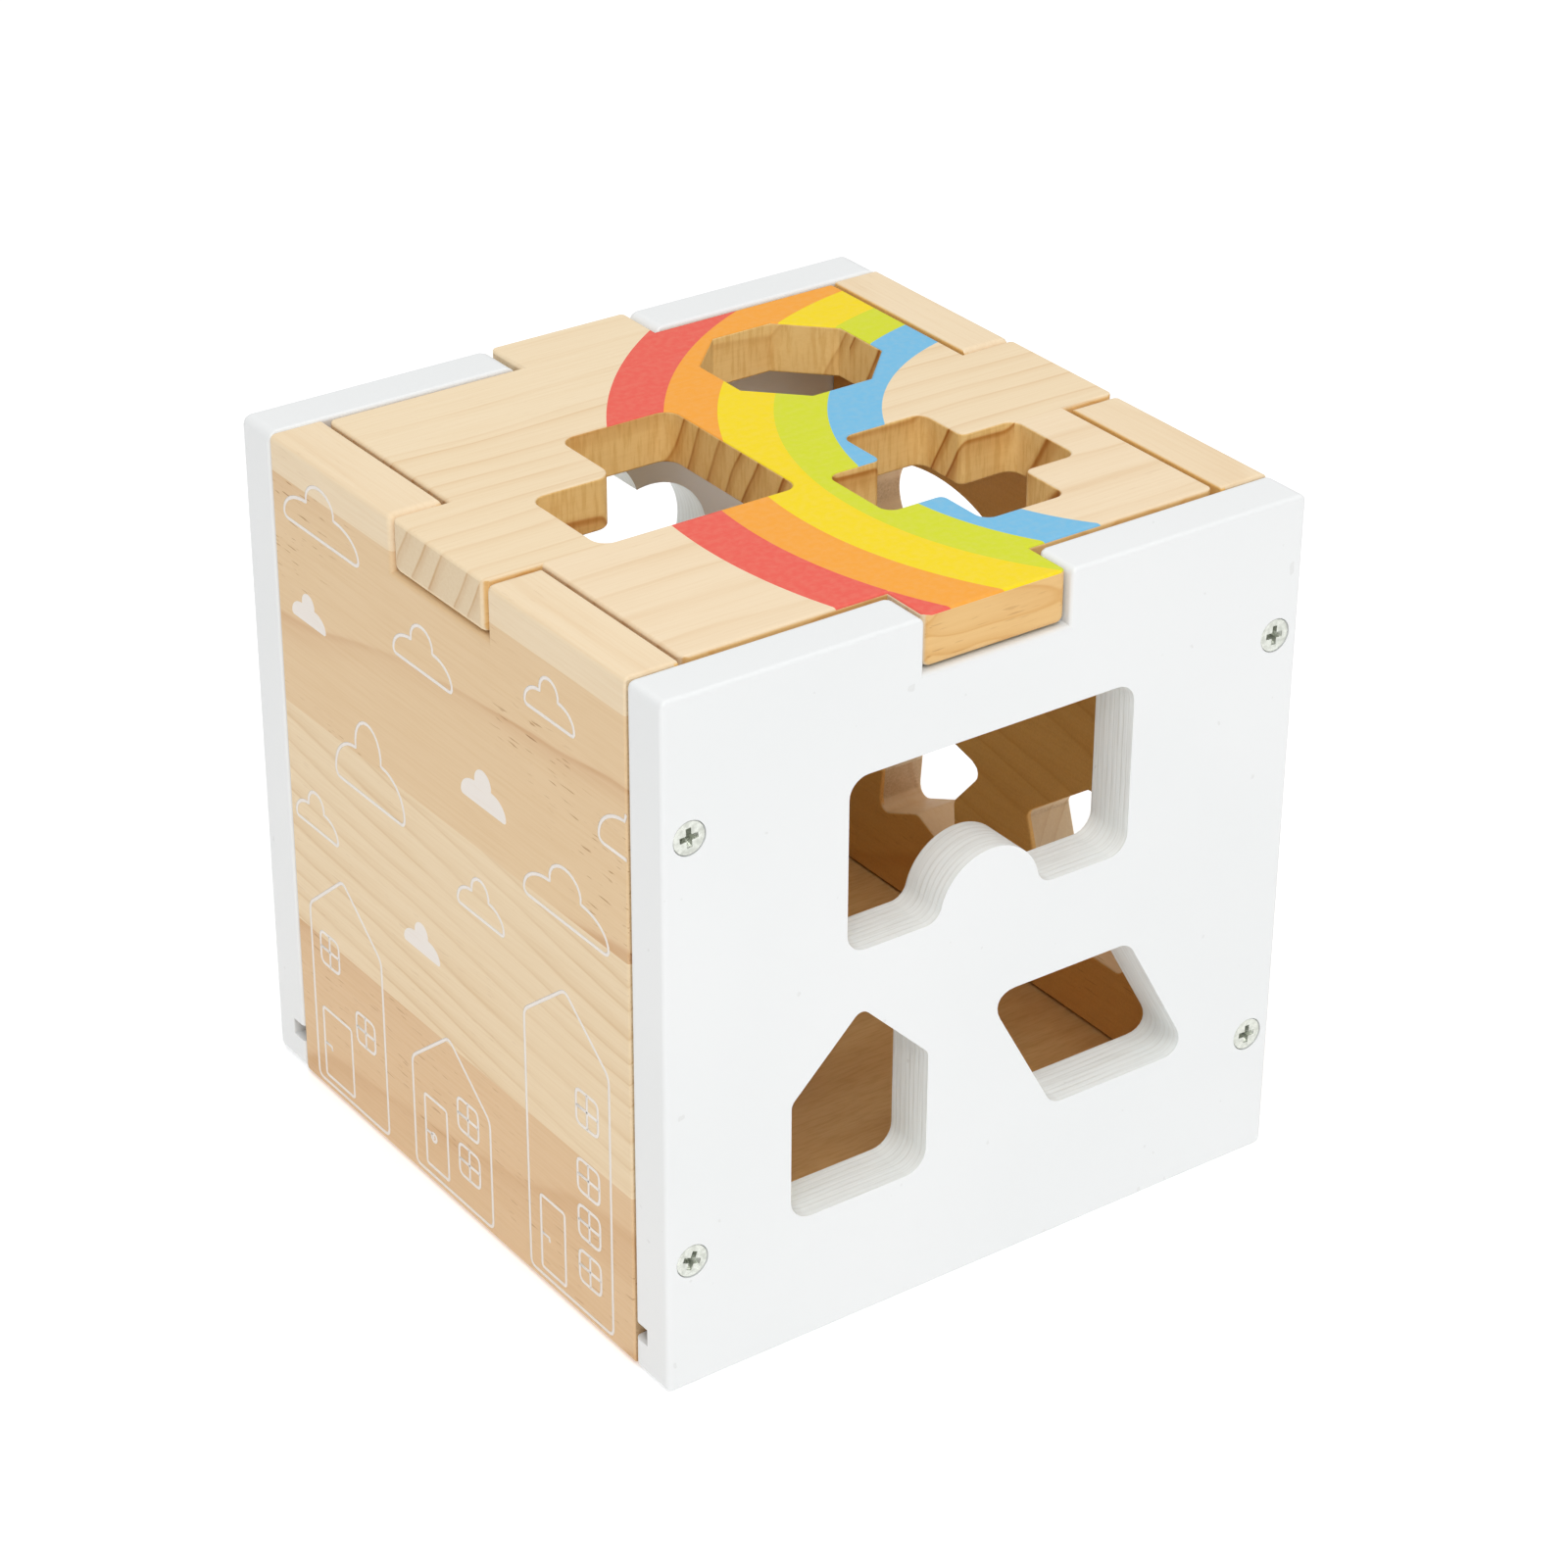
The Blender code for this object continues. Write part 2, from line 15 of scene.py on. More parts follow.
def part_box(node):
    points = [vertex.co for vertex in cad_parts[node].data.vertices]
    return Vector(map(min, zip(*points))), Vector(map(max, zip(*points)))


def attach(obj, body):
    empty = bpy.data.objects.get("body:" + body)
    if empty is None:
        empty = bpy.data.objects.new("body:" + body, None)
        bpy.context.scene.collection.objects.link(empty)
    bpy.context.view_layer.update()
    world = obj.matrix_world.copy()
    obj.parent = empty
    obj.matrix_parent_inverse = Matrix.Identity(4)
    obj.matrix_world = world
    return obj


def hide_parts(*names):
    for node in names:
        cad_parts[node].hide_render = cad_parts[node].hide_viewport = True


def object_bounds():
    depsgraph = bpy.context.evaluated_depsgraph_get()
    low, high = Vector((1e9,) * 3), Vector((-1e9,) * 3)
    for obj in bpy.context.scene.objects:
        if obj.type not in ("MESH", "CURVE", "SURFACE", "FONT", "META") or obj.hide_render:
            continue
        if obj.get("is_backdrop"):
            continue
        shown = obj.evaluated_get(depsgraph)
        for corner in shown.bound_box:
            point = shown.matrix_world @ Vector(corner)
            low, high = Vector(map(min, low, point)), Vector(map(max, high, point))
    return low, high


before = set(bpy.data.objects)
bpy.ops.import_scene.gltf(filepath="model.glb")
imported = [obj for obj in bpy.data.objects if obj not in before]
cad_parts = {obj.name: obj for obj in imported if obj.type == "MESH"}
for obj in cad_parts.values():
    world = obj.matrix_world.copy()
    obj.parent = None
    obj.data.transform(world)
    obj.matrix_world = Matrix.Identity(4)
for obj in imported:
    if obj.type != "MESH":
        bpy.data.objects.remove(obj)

LOG = logging.getLogger("shape_sorter")
CAD_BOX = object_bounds()
MM = 0.001
TOUCH = 0.01 * MM
CLOSE = 0.1 * MM
FACING = 0.9
SOFT, SHARP, STEEP = 0.3, 0.8, 1.0
CUTTER_LONG = 16 * MM
NEAR_MIDDLE, NEAR_CORNER, NEAR_SIDE, FAR = 20 * MM, 50 * MM, 60 * MM, 1.0

RGB = tuple[float, float, float]
Spot = tuple[float, float]
Line = list[Spot]
Piece = bpy.types.Object
Material = bpy.types.Material
EdgeTest = Callable[[Vector, Vector, float], bool]
FaceTest = Callable[[Vector, Vector], bool]


def srgb(*levels: int) -> RGB:
    """Turns a screen colour into the linear one that a shader takes.

    Args:
        levels: Red, green and blue, 0 to 255.

    Returns:
        The three linear channels, 0 to 1.
    """
    shares = [level / 255 for level in levels]
    return tuple(s / 12.92 if s <= 0.04045 else ((s + 0.055) / 1.055) ** 2.4 for s in shares)


# --- Modelling by hand -------------------------------------------------------------------------


class Plane(Enum):
    """The way a flat shape faces once it is stood in its panel."""

    TOP = ((1, 0, 0), (0, 1, 0), (0, 0, 1))
    FACE = ((1, 0, 0), (0, 0, -1), (0, 1, 0))
    SIDE = ((0, 0, 1), (1, 0, 0), (0, 1, 0))
    LEFT_PRINT = ((0, 0, -1), (-1, 0, 0), (0, 1, 0))

    def matrix(self) -> Matrix:
        """The turn from the shape's own directions to the object's."""
        return Matrix(self.value).to_4x4()


def activate(piece: Piece) -> Piece:
    """Selects only this piece, makes it the active one and gives it back."""
    bpy.ops.object.select_all(action="DESELECT")
    piece.select_set(True)
    bpy.context.view_layer.objects.active = piece
    return piece


def settle(piece: Piece) -> Piece:
    """Applies a piece's place, turn and scale to its mesh and gives it back."""
    activate(piece)
    bpy.ops.object.transform_apply(location=True, rotation=True, scale=True)
    return piece


def added(name: str) -> Piece:
    """Names the primitive that an operator has just added, and settles it."""
    bpy.context.object.name = bpy.context.object.data.name = name
    return settle(bpy.context.object)


def block_of(name: str, low: Sequence[float], high: Sequence[float]) -> Piece:
    """Adds a box between two corners.

    Args:
        name: The object's name.
        low: The lowest corner, in metres.
        high: The highest corner, in metres.

    Returns:
        The new object.
    """
    low, high = Vector(low), Vector(high)
    bpy.ops.object.select_all(action="DESELECT")
    bpy.ops.mesh.primitive_cube_add(size=1, location=(low + high) / 2, scale=high - low)
    return added(name)


def drum_of(
    name: str, radius: float, depth: float, sides: int, at: Sequence[float] = (0, 0, 0), turn: float = 0.0
) -> Piece:
    """Adds an upright drum.

    Args:
        name: The object's name.
        radius: From the axis to a corner, in metres.
        depth: Its height, in metres.
        sides: How many sides it has.
        at: Its middle, in metres.
        turn: How far it is turned about its axis, in radians.

    Returns:
        The new object.
    """
    bpy.ops.object.select_all(action="DESELECT")
    bpy.ops.mesh.primitive_cylinder_add(
        vertices=sides, radius=radius, depth=depth, location=at, rotation=(0, 0, turn)
    )
    return added(name)


def edges_of(mesh: bpy.types.Mesh) -> Iterator[tuple[bpy.types.MeshEdge, Vector, Vector, float]]:
    """Goes through a mesh's edges.

    Args:
        mesh: The mesh to read.

    Yields:
        Each edge, its two ends, and the angle between its two faces.
    """
    normals: dict[tuple[int, int], list[Vector]] = {}
    for face in mesh.polygons:
        for key in face.edge_keys:
            normals.setdefault(key, []).append(face.normal.copy())
    for edge in mesh.edges:
        pair = normals.get(tuple(sorted(edge.vertices)), [])
        angle = pair[0].angle(pair[1], 0.0) if len(pair) == 2 else 0.0
        start, end = (mesh.vertices[i].co for i in edge.vertices)
        yield edge, start, end, angle


def clear_marks(mesh: bpy.types.Mesh) -> None:
    """Deselects all of a mesh."""
    for group in (mesh.vertices, mesh.edges, mesh.polygons):
        group.foreach_set("select", [False] * len(group))


def select_edges(piece: Piece, test: EdgeTest) -> list[float]:
    """Selects the edges that pass a test.

    Args:
        piece: The object whose edges are selected.
        test: Takes an edge's two ends and the angle between its faces.

    Returns:
        The angles of the selected edges.
    """
    clear_marks(piece.data)
    found = []
    for edge, start, end, angle in edges_of(piece.data):
        if test(start, end, angle):
            edge.select = True
            found.append(angle)
    return found


def select_faces(piece: Piece, test: FaceTest) -> int:
    """Selects the faces that pass a test.

    Args:
        piece: The object whose faces are selected.
        test: Takes a face's middle and its normal.

    Returns:
        How many faces were selected.
    """
    clear_marks(piece.data)
    for face in piece.data.polygons:
        face.select = test(face.center, face.normal)
    return sum(face.select for face in piece.data.polygons)


class Edit:
    """Opens a piece in edit mode for the operators inside a with block."""

    def __init__(self, piece: Piece, mode: str = "EDGE") -> None:
        """Keeps the piece and the kind of element that is selected."""
        self.piece, self.mode = piece, mode

    def __enter__(self) -> None:
        """Enters edit mode."""
        activate(self.piece)
        kinds = ("VERT", "EDGE", "FACE")
        bpy.context.tool_settings.mesh_select_mode = tuple(self.mode == kind for kind in kinds)
        bpy.ops.object.mode_set(mode="EDIT")

    def __exit__(self, *_: object) -> None:
        """Leaves edit mode."""
        bpy.ops.object.mode_set(mode="OBJECT")


def bevel(piece: Piece, test: EdgeTest, width: float, segments: int = 3) -> None:
    """Bevels the edges that pass a test.

    Args:
        piece: The object to shape.
        test: Takes an edge's two ends and its angle.
        width: How far the bevel reaches along each face, in metres.
        segments: How many faces the bevel has across.
    """
    if select_edges(piece, test):
        with Edit(piece):
            bpy.ops.mesh.bevel(
                offset_type="OFFSET", offset=width, segments=segments, affect="EDGES", clamp_overlap=True
            )


def bevel_by_width(piece: Piece, rules: Sequence[tuple[EdgeTest, float]], segments: int = 4) -> None:
    """Bevels several groups of edges in one go, each by its own width.

    Args:
        piece: The object to shape.
        rules: Each group's test and its width in metres. The first that fits an edge counts.
        segments: How many faces each bevel has across.
    """
    widest = max(width for _, width in rules)
    weights = piece.data.attributes.new("bevel_weight_edge", "FLOAT", "EDGE")
    for edge, start, end, angle in edges_of(piece.data):
        fits = (width for test, width in rules if angle > SHARP and test(start, end, angle))
        weights.data[edge.index].value = next(fits, 0.0) / widest
    modifier = piece.modifiers.new("bevel", "BEVEL")
    modifier.limit_method, modifier.width, modifier.segments = "WEIGHT", widest, segments
    activate(piece)
    bpy.ops.object.modifier_apply(modifier=modifier.name)
    piece.data.attributes.remove(piece.data.attributes["bevel_weight_edge"])


def along(axis: int, *limits: tuple[int, float, float]) -> EdgeTest:
    """Makes a test for edges along an axis.

    Args:
        axis: The axis that the edges run along.
        limits: Other axes, each with the least and most distance of the edge from the middle, in metres.

    Returns:
        The test.
    """
    def test(start: Vector, end: Vector, _: float) -> bool:
        """Picks the edges along the axis that lie within the limits."""
        middle, span = (start + end) / 2, start - end
        straight = all(abs(span[i]) < TOUCH for i in range(3) if i != axis)
        return straight and all(low <= abs(middle[i]) <= high for i, low, high in limits)

    return test


def on_plane(axis: int, *places: float) -> EdgeTest:
    """Makes a test for edges that lie in one of some planes.

    Args:
        axis: The axis that the planes are square to.
        places: Where they lie, in metres.

    Returns:
        The test.
    """
    return lambda start, end, _: any(
        abs(start[axis] - place) < TOUCH and abs(end[axis] - place) < TOUCH for place in places
    )


def facing(axis: int, sign: int = 1) -> FaceTest:
    """Makes a test for faces that look along an axis, or against it."""
    return lambda _, normal: normal[axis] * sign > FACING


def upright(start: Vector, end: Vector) -> bool:
    """Whether an edge runs along Z."""
    return math.hypot(start.x - end.x, start.y - end.y) < 1e-6 < abs(start.z - end.z)


def round_uprights(
    piece: Piece, radius: float, near: Callable[[Vector], bool] = lambda _: True, segments: int = 7
) -> None:
    """Rounds upright corners to arcs of one radius.

    Args:
        piece: A prism that stands along Z.
        radius: The arc's radius, in metres.
        near: Takes one end of an upright edge and says whether to round it.
        segments: How many faces each arc has.
    """
    def test(start: Vector, end: Vector, angle: float) -> bool:
        """Picks sharp upright edges."""
        return upright(start, end) and angle > SOFT and near(start)

    angles = select_edges(piece, test)
    if angles and radius > 0:
        bevel(piece, test, radius * math.tan(angles[0] / 2), segments)


def ease_rims(
    piece: Piece, axis: int, faces: Sequence[float], inside: Callable[[Vector], bool], width: float
) -> None:
    """Eases the sharp rims of a board's openings.

    Args:
        piece: The board.
        axis: The axis through it.
        faces: Where its two faces lie, in metres.
        inside: Takes an edge's end and says whether it is clear of the board's own outline.
        width: How far the rims are eased, in metres.
    """
    flat = on_plane(axis, *faces)
    bevel(piece, lambda a, b, turn: flat(a, b, turn) and turn > STEEP and inside(a) and inside(b), width)


def extrude(piece: Piece, test: FaceTest, move: Sequence[float]) -> None:
    """Extrudes the faces that pass a test.

    Args:
        piece: The object to shape.
        test: Takes a face's middle and its normal.
        move: How far the new faces move, in metres.
    """
    if select_faces(piece, test):
        with Edit(piece, "FACE"):
            bpy.ops.mesh.extrude_region_move(TRANSFORM_OT_translate={"value": tuple(move)})


def scale_faces(piece: Piece, test: FaceTest, scale: Sequence[float], center: Sequence[float]) -> None:
    """Scales the faces that pass a test about a point.

    Args:
        piece: The object to shape.
        test: Takes a face's middle and its normal.
        scale: The three scales.
        center: The point that stays, in metres.
    """
    select_faces(piece, test)
    with Edit(piece, "FACE"):
        bpy.ops.transform.resize(value=scale, center_override=center)


def grow_arms(piece: Piece, half: float, reach: float) -> None:
    """Extrudes four arms from a square middle cell.

    Args:
        piece: The cell, a prism along Z.
        half: Half its side, in metres.
        reach: How far each arm sticks out, in metres.
    """
    for x, y in ((1, 0), (0, 1), (-1, 0), (0, -1)):
        way = Vector((x, y, 0))
        extrude(piece, lambda c, n: n.dot(way) > FACING and (c - way * half).xy.length < CLOSE, way * reach)
    tidy_mesh(piece)


def combine(piece: Piece, other: Piece, way: str = "DIFFERENCE") -> Piece:
    """Cuts another solid out of a piece, or joins it on, and removes the other.

    Args:
        piece: The object that stays.
        other: The solid that is used up.
        way: DIFFERENCE or UNION.

    Returns:
        The piece.
    """
    activate(piece)
    modifier = piece.modifiers.new(way.lower(), "BOOLEAN")
    modifier.operation, modifier.solver, modifier.object = way, "EXACT", other
    bpy.ops.object.modifier_apply(modifier=modifier.name)
    bpy.data.objects.remove(other, do_unlink=True)
    return piece


def tidy_mesh(piece: Piece, near: float = 0.004 * MM, flatten: bool = True) -> Piece:
    """Merges doubles, joins flat neighbours into one face and turns all faces outwards.

    Args:
        piece: The object to tidy.
        near: How near two points have to be to merge, in metres.
        flatten: Whether flat neighbours are joined.

    Returns:
        The same object.
    """
    with Edit(piece, "VERT"):
        bpy.ops.mesh.select_all(action="SELECT")
        bpy.ops.mesh.remove_doubles(threshold=near)
        if flatten:
            bpy.ops.mesh.dissolve_limited(angle_limit=math.radians(0.4))
        bpy.ops.mesh.normals_make_consistent(inside=False)
    return piece


def finish_shading(piece: Piece, angle: float) -> None:
    """Smooths the soft edges, with the broad flat faces kept flat.

    Args:
        piece: The finished solid.
        angle: Edges sharper than this many degrees stay sharp.
    """
    activate(piece)
    bpy.ops.object.shade_smooth_by_angle(angle=math.radians(angle))
    weighted = piece.modifiers.new("even_light", "WEIGHTED_NORMAL")
    weighted.keep_sharp, weighted.weight = True, 90
    bpy.ops.object.modifier_apply(modifier=weighted.name)


def stand(piece: Piece, plane: Plane, at: Sequence[float]) -> Piece:
    """Turns a shape made flat, around the origin, into its plane and puts it in place."""
    piece.matrix_world = Matrix.Translation(at) @ plane.matrix()
    return settle(piece)


class Assembly:
    """A part of the toy, which dresses its pieces and hands them over."""

    def dress(
        self, piece: Piece, material: Material, body: str, slot: str, *nodes: str, angle: float = 32.0
    ) -> Piece:
        """Gives a piece its finish and puts it on its body, in place of its CAD nodes.

        Args:
            piece: The finished solid.
            material: Its finish.
            body: The CAD body that it rides on.
            slot: A name for the material slot. Not used.
            nodes: The CAD nodes that it stands for.
            angle: Edges sharper than this many degrees stay sharp, or 0 for flat shading.

        Returns:
            The piece.
        """
        piece.data.materials.clear()
        piece.data.materials.append(material)
        if angle:
            finish_shading(piece, angle)
        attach(piece, body)
        if nodes:
            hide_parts(*nodes)
        LOG.info("%s rides on %s, %d faces", piece.name, body, len(piece.data.polygons))
        return piece


# --- Finishes ----------------------------------------------------------------------------------


def arithmetic(operation: str, turned: bool = False) -> Callable[..., "Number"]:
    """Makes a method that does one arithmetic step on numbers of a material.

    Args:
        operation: The math node's operation.
        turned: Whether the two values change places.

    Returns:
        The method.
    """
    def method(*values: object) -> "Number":
        """Does the step."""
        return values[0].nodes.math(operation, *(values[::-1] if turned else values))

    return method


class Number:
    """A number or a colour in a node material, which takes plain arithmetic."""

    __add__ = arithmetic("ADD")
    __sub__ = arithmetic("SUBTRACT")
    __rsub__ = arithmetic("SUBTRACT", turned=True)
    __mul__ = arithmetic("MULTIPLY")
    __truediv__ = arithmetic("DIVIDE")
    __pow__ = arithmetic("POWER")
    __abs__ = arithmetic("ABSOLUTE")
    __lt__ = arithmetic("LESS_THAN")
    __gt__ = arithmetic("GREATER_THAN")

    def __init__(self, nodes: "Nodes", socket: bpy.types.NodeSocket) -> None:
        """Keeps the output socket that carries the value."""
        self.nodes, self.socket = nodes, socket

    def clamped(self) -> "Number":
        """The same number, kept from 0 to 1."""
        self.socket.node.use_clamp = True
        return self

    def smooth(self, low: float, high: float, start: float = 0.0, end: float = 1.0) -> "Number":
        """Carries a range of the number smoothly to another range."""
        inputs = {0: self, 1: low, 2: high, 3: start, 4: end}
        return self.nodes.add("MapRange", inputs, interpolation_type="SMOOTHSTEP")


class Nodes:
    """A node material under construction."""

    def __init__(self, name: str) -> None:
        """Starts a material with one principled shader."""
        self.material = bpy.data.materials.new(name)
        self.material.use_nodes = True
        self.tree = self.material.node_tree
        self.shader = self.tree.nodes["Principled BSDF"]
        self.coordinates = self.tree.nodes.new("ShaderNodeTexCoord")
        self.where = Number(self, self.coordinates.outputs["Object"])

    @cached_property
    def place(self) -> tuple[Number, ...]:
        """The three object coordinates."""
        return self.parts(self.where)

    @cached_property
    def facing(self) -> tuple[Number, ...]:
        """The three numbers of the surface's normal."""
        return self.parts(self.coordinates.outputs["Normal"])

    def plug(self, socket: bpy.types.NodeSocket, value: object) -> None:
        """Links a socket, or sets its number or colour.

        Args:
            socket: The input to fill.
            value: A value of the material, an output socket, a number, a vector or a colour.
        """
        value = value.socket if isinstance(value, Number) else value
        if isinstance(value, bpy.types.NodeSocket):
            self.tree.links.new(value, socket)
        elif isinstance(value, (tuple, list)) and len(socket.default_value) == 4:
            socket.default_value = (*value[:3], 1.0)
        else:
            socket.default_value = value

    def add(self, kind: str, inputs: dict[str | int, object], output: int = 0, **settings: object) -> Number:
        """Adds a node.

        Args:
            kind: The node's type, without its ShaderNode prefix.
            inputs: Values for its inputs, by name or number.
            output: Which of its outputs is wanted.
            settings: Properties of the node.

        Returns:
            The value of that output.
        """
        node = self.tree.nodes.new("ShaderNode" + kind)
        for name, value in settings.items():
            setattr(node, name, value)
        for key, value in inputs.items():
            self.plug(node.inputs[key], value)
        return Number(self, node.outputs[output])

    def math(self, operation: str, *values: object) -> Number:
        """One arithmetic step on numbers."""
        return self.add("Math", dict(enumerate(values)), operation=operation)

    def length(self, first: Number, second: Number) -> Number:
        """The length of a flat vector."""
        return self.math("SQRT", first**2.0 + second**2.0)

    def parts(self, value: object) -> tuple[Number, ...]:
        """The three numbers of a vector or a colour."""
        outputs = self.add("SeparateXYZ", {0: value}).socket.node.outputs
        return tuple(Number(self, socket) for socket in outputs)

    def join(self, x: object, y: object = 0.0, z: object = 0.0) -> Number:
        """A vector from its three numbers."""
        return self.add("CombineXYZ", {0: x, 1: y, 2: z})

    def mix(self, share: object, first: object, second: object, blend: str = "MIX") -> Number:
        """Mixes two colours."""
        return self.add("Mix", {0: share, 6: first, 7: second}, 2, data_type="RGBA", blend_type=blend)

    def tinted(self, share: object, color: object, tint: object) -> Number:
        """Multiplies a colour by a tint, as far as the share says."""
        return self.mix(share, color, self.mix(1.0, color, tint, "MULTIPLY"))

    def ramp(self, value: object, stops: Sequence[tuple[float, RGB]], step: str = "LINEAR") -> Number:
        """Looks a number up in a row of colours.

        Args:
            value: The number, 0 to 1.
            stops: Each stop's place and colour, in order.
            step: LINEAR, EASE or CONSTANT.

        Returns:
            The colour.
        """
        found = self.add("ValToRGB", {0: value})
        row = found.socket.node.color_ramp
        row.interpolation = step
        while len(row.elements) < len(stops):
            row.elements.new(1.0)
        while len(row.elements) > len(stops):
            row.elements.remove(row.elements[-1])
        for element, (place, color) in zip(row.elements, stops, strict=True):
            element.position, element.color = place, (*color, 1.0)
        return found

    def noise(self, where: object, scale: float, detail: float = 2.0, rough: float = 0.5) -> Number:
        """Soft noise from 0 to 1."""
        return self.add("TexNoise", {"Vector": where, "Scale": scale, "Detail": detail, "Roughness": rough})

    def bump(self, height: object, strength: float, distance: float) -> None:
        """Bumps the shader by a height."""
        bumped = self.add("Bump", {"Height": height, "Strength": strength, "Distance": distance})
        self.plug(self.shader.inputs["Normal"], bumped)

    def done(self, color: object, roughness: object, **constants: float) -> Material:
        """Plugs the colour and the roughness in.

        Args:
            color: The base colour.
            roughness: The roughness.
            constants: The shader's other inputs, with _ for each space in their names.

        Returns:
            The material.
        """
        self.plug(self.shader.inputs["Base Color"], color)
        self.plug(self.shader.inputs["Roughness"], roughness)
        for name, value in constants.items():
            self.shader.inputs[name.replace("_", " ")].default_value = value
        return self.material


@dataclass(frozen=True)
class Strip:
    """One of the boards that are glued edge to edge.

    Attributes:
        start: Where it begins across the panel, in metres.
        pith_across: The tree's centre, across the panel, in metres.
        pith_deep: The tree's centre, through the panel, in metres.
        tilt: How far the tree's centre leans along the board.
        ring: The distance between rings, in metres.
        depth: How strongly its rings show, 0 to 1.
        dashes: How many short resin dashes it has, 0 to 1.
        tone: The colour of its pale wood.
        line: The colour of its dark rings.
    """

    start: float
    pith_across: float
    pith_deep: float
    tilt: float
    ring: float
    depth: float
    dashes: float
    tone: RGB
    line: RGB


WIDEST_RING = 50.0 * MM
CALM_RING = 0.2
PITH_REACH = 0.5
RING_PROFILE = tuple(
    (place, (dark, dark, dark))
    for place, dark in ((0.0, 0.0), (0.45, 0.06), (0.78, 0.42), (0.90, 1.0), (0.965, 0.12), (1.0, 0.0))
)
END_RING_TINT = (0.86, 0.76, 0.66)
FIBRE_TINT = (0.88, 0.80, 0.69)
RESIN_TINT = (0.56, 0.40, 0.27)
WALL_RING_TINT = (0.72, 0.56, 0.42)
END_TINT = (0.91, 0.90, 0.89)
SCRATCH_TINT = (0.90, 0.84, 0.74)
ARC_TINT = (0.90, 0.80, 0.66)
EDGE_TINT = (0.93, 0.74, 0.45)
SAWN_STOPS = ((0.3, (0.78, 0.74, 0.70)), (0.7, (0.93, 0.93, 0.92)))


@dataclass(frozen=True)
class Pine:
    """Lacquered pine, glued up from strips, with rings that run through the solid.

    Attributes:
        name: The material's name.
        along: The axis of the grain, 0 for X or 1 for Y.
        across: The axis across the strips.
        deep: The axis through the board.
        low: The lowest place across that the strips cover, in metres.
        span: How far across they reach, in metres.
        strips: The strips in order.
        warp: How far the rings wander, as a share of the distance between them.
        streaks: How strong the short dark resin streaks are, 0 to 1.
        inner: How far from the middle the unlacquered inside starts, in metres.
        painted_warm_light: The painted warm bounce light that tints the shaded inside and lightens the walls
            of the openings.
        walls: How strongly the rings show on the walls of the openings and on the sides, 0 to 2.
    """

    name: str
    along: int
    across: int
    deep: int
    low: float
    span: float
    strips: tuple[Strip, ...]
    warp: float
    streaks: float
    inner: float = 60.0 * MM
    painted_warm_light: RGB = (1.16, 0.91, 0.47)
    walls: float = 0.0

    def look(self, nodes: Nodes) -> tuple[Number, Number, Number]:
        """Colours the wood.

        Args:
            nodes: The material under construction.

        Returns:
            The colour, the ring strength and the fibre noise.
        """
        place, facing = nodes.place, nodes.facing
        along, across, deep = place[self.along], place[self.across], place[self.deep]
        share = (across - self.low) / self.span
        figure = self.row(nodes, share, lambda s: (s.ring / WIDEST_RING, s.depth, s.dashes))
        ring, depth, dashes = nodes.parts(figure)
        end = abs(facing[self.along]).smooth(0.93, 0.995)
        aside = facing[2].smooth(0.3, 0.8, 1.0, 0.0)
        inside = (nodes.math("MAXIMUM", abs(place[0]), abs(place[1])) < self.inner) * aside
        edge = abs(facing[self.across]).smooth(0.5, 0.8) * aside * (1.0 - inside)

        wide = nodes.join(along * 0.5, across, deep)
        wander = (nodes.noise(wide, 30.0) - 0.5) * (
            nodes.math("MINIMUM", ring, CALM_RING) * (2 * self.warp * WIDEST_RING)
        )
        away = self.from_pith(nodes, share, along, across, deep) + wander
        uneven = nodes.noise(nodes.join(away), 90.0, 1.0)
        dark = self.banded(nodes, away / (ring * WIDEST_RING) + uneven * 1.4)
        patch = nodes.noise(wide, 38.0)
        sawn_end = end * (1.0 if self.walls else 0.25)
        shown = depth * (sawn_end + 1.0 + (inside + edge) * self.walls)
        strength = (dark * patch.smooth(0.3, 0.7, 0.35, 1.0) * shown).clamped()

        tone, line = self.row(nodes, share, lambda s: s.tone), self.row(nodes, share, lambda s: s.line)
        color = nodes.mix(strength, tone, line)
        color = nodes.tinted(strength * sawn_end, color, END_RING_TINT)
        fibre = nodes.noise(nodes.join(along * 0.03, across, deep), 1400.0, 3.0, 0.65)
        color = nodes.tinted(fibre.smooth(0.35, 0.75, 0.0, 0.28), color, FIBRE_TINT)
        resin = nodes.noise(nodes.join(along * 0.09, across, deep), 2000.0, 1.0)
        resin = resin.smooth(0.655, 0.74, 0.0, self.streaks) * dashes
        resin = resin * nodes.noise(wide, 33.0, 1.0).smooth(0.46, 0.58)
        color = nodes.tinted((resin * (edge * 2.0 + 1.0)).clamped(), color, RESIN_TINT)
        if self.walls:
            bared = (inside * self.walls).clamped()
            color = nodes.tinted(strength * bared, color, WALL_RING_TINT)
            color = nodes.tinted(end, color, nodes.mix(inside, END_TINT, (1.0, 1.0, 1.0)))
            scrape = nodes.noise(nodes.join(place[0], place[1], place[2] * 0.12), 1000.0, 3.0, 0.6)
            color = nodes.tinted(scrape.smooth(0.45, 0.65) * bared, color, SCRATCH_TINT)
            color = nodes.tinted(self.banded(nodes, patch * 14.0) * edge, color, ARC_TINT)
        else:
            sawn = nodes.ramp(nodes.noise(nodes.where, 2200.0), SAWN_STOPS)
            color = nodes.tinted(nodes.math("MAXIMUM", end, inside * 0.6), color, sawn)
        color = nodes.tinted(edge, color, EDGE_TINT)
        # The inside takes painted warm bounce light, which also lightens the shaded walls of the openings.
        return nodes.tinted(inside, color, self.painted_warm_light), strength, fibre

    def row(self, nodes: Nodes, share: Number, value: Callable[[Strip], RGB]) -> Number:
        """Looks up the colour that a strip has at a place across the panel, 0 to 1."""
        stops = [(max(0.0, (s.start - self.low) / self.span), value(s)) for s in self.strips]
        return nodes.ramp(share, stops, "CONSTANT")

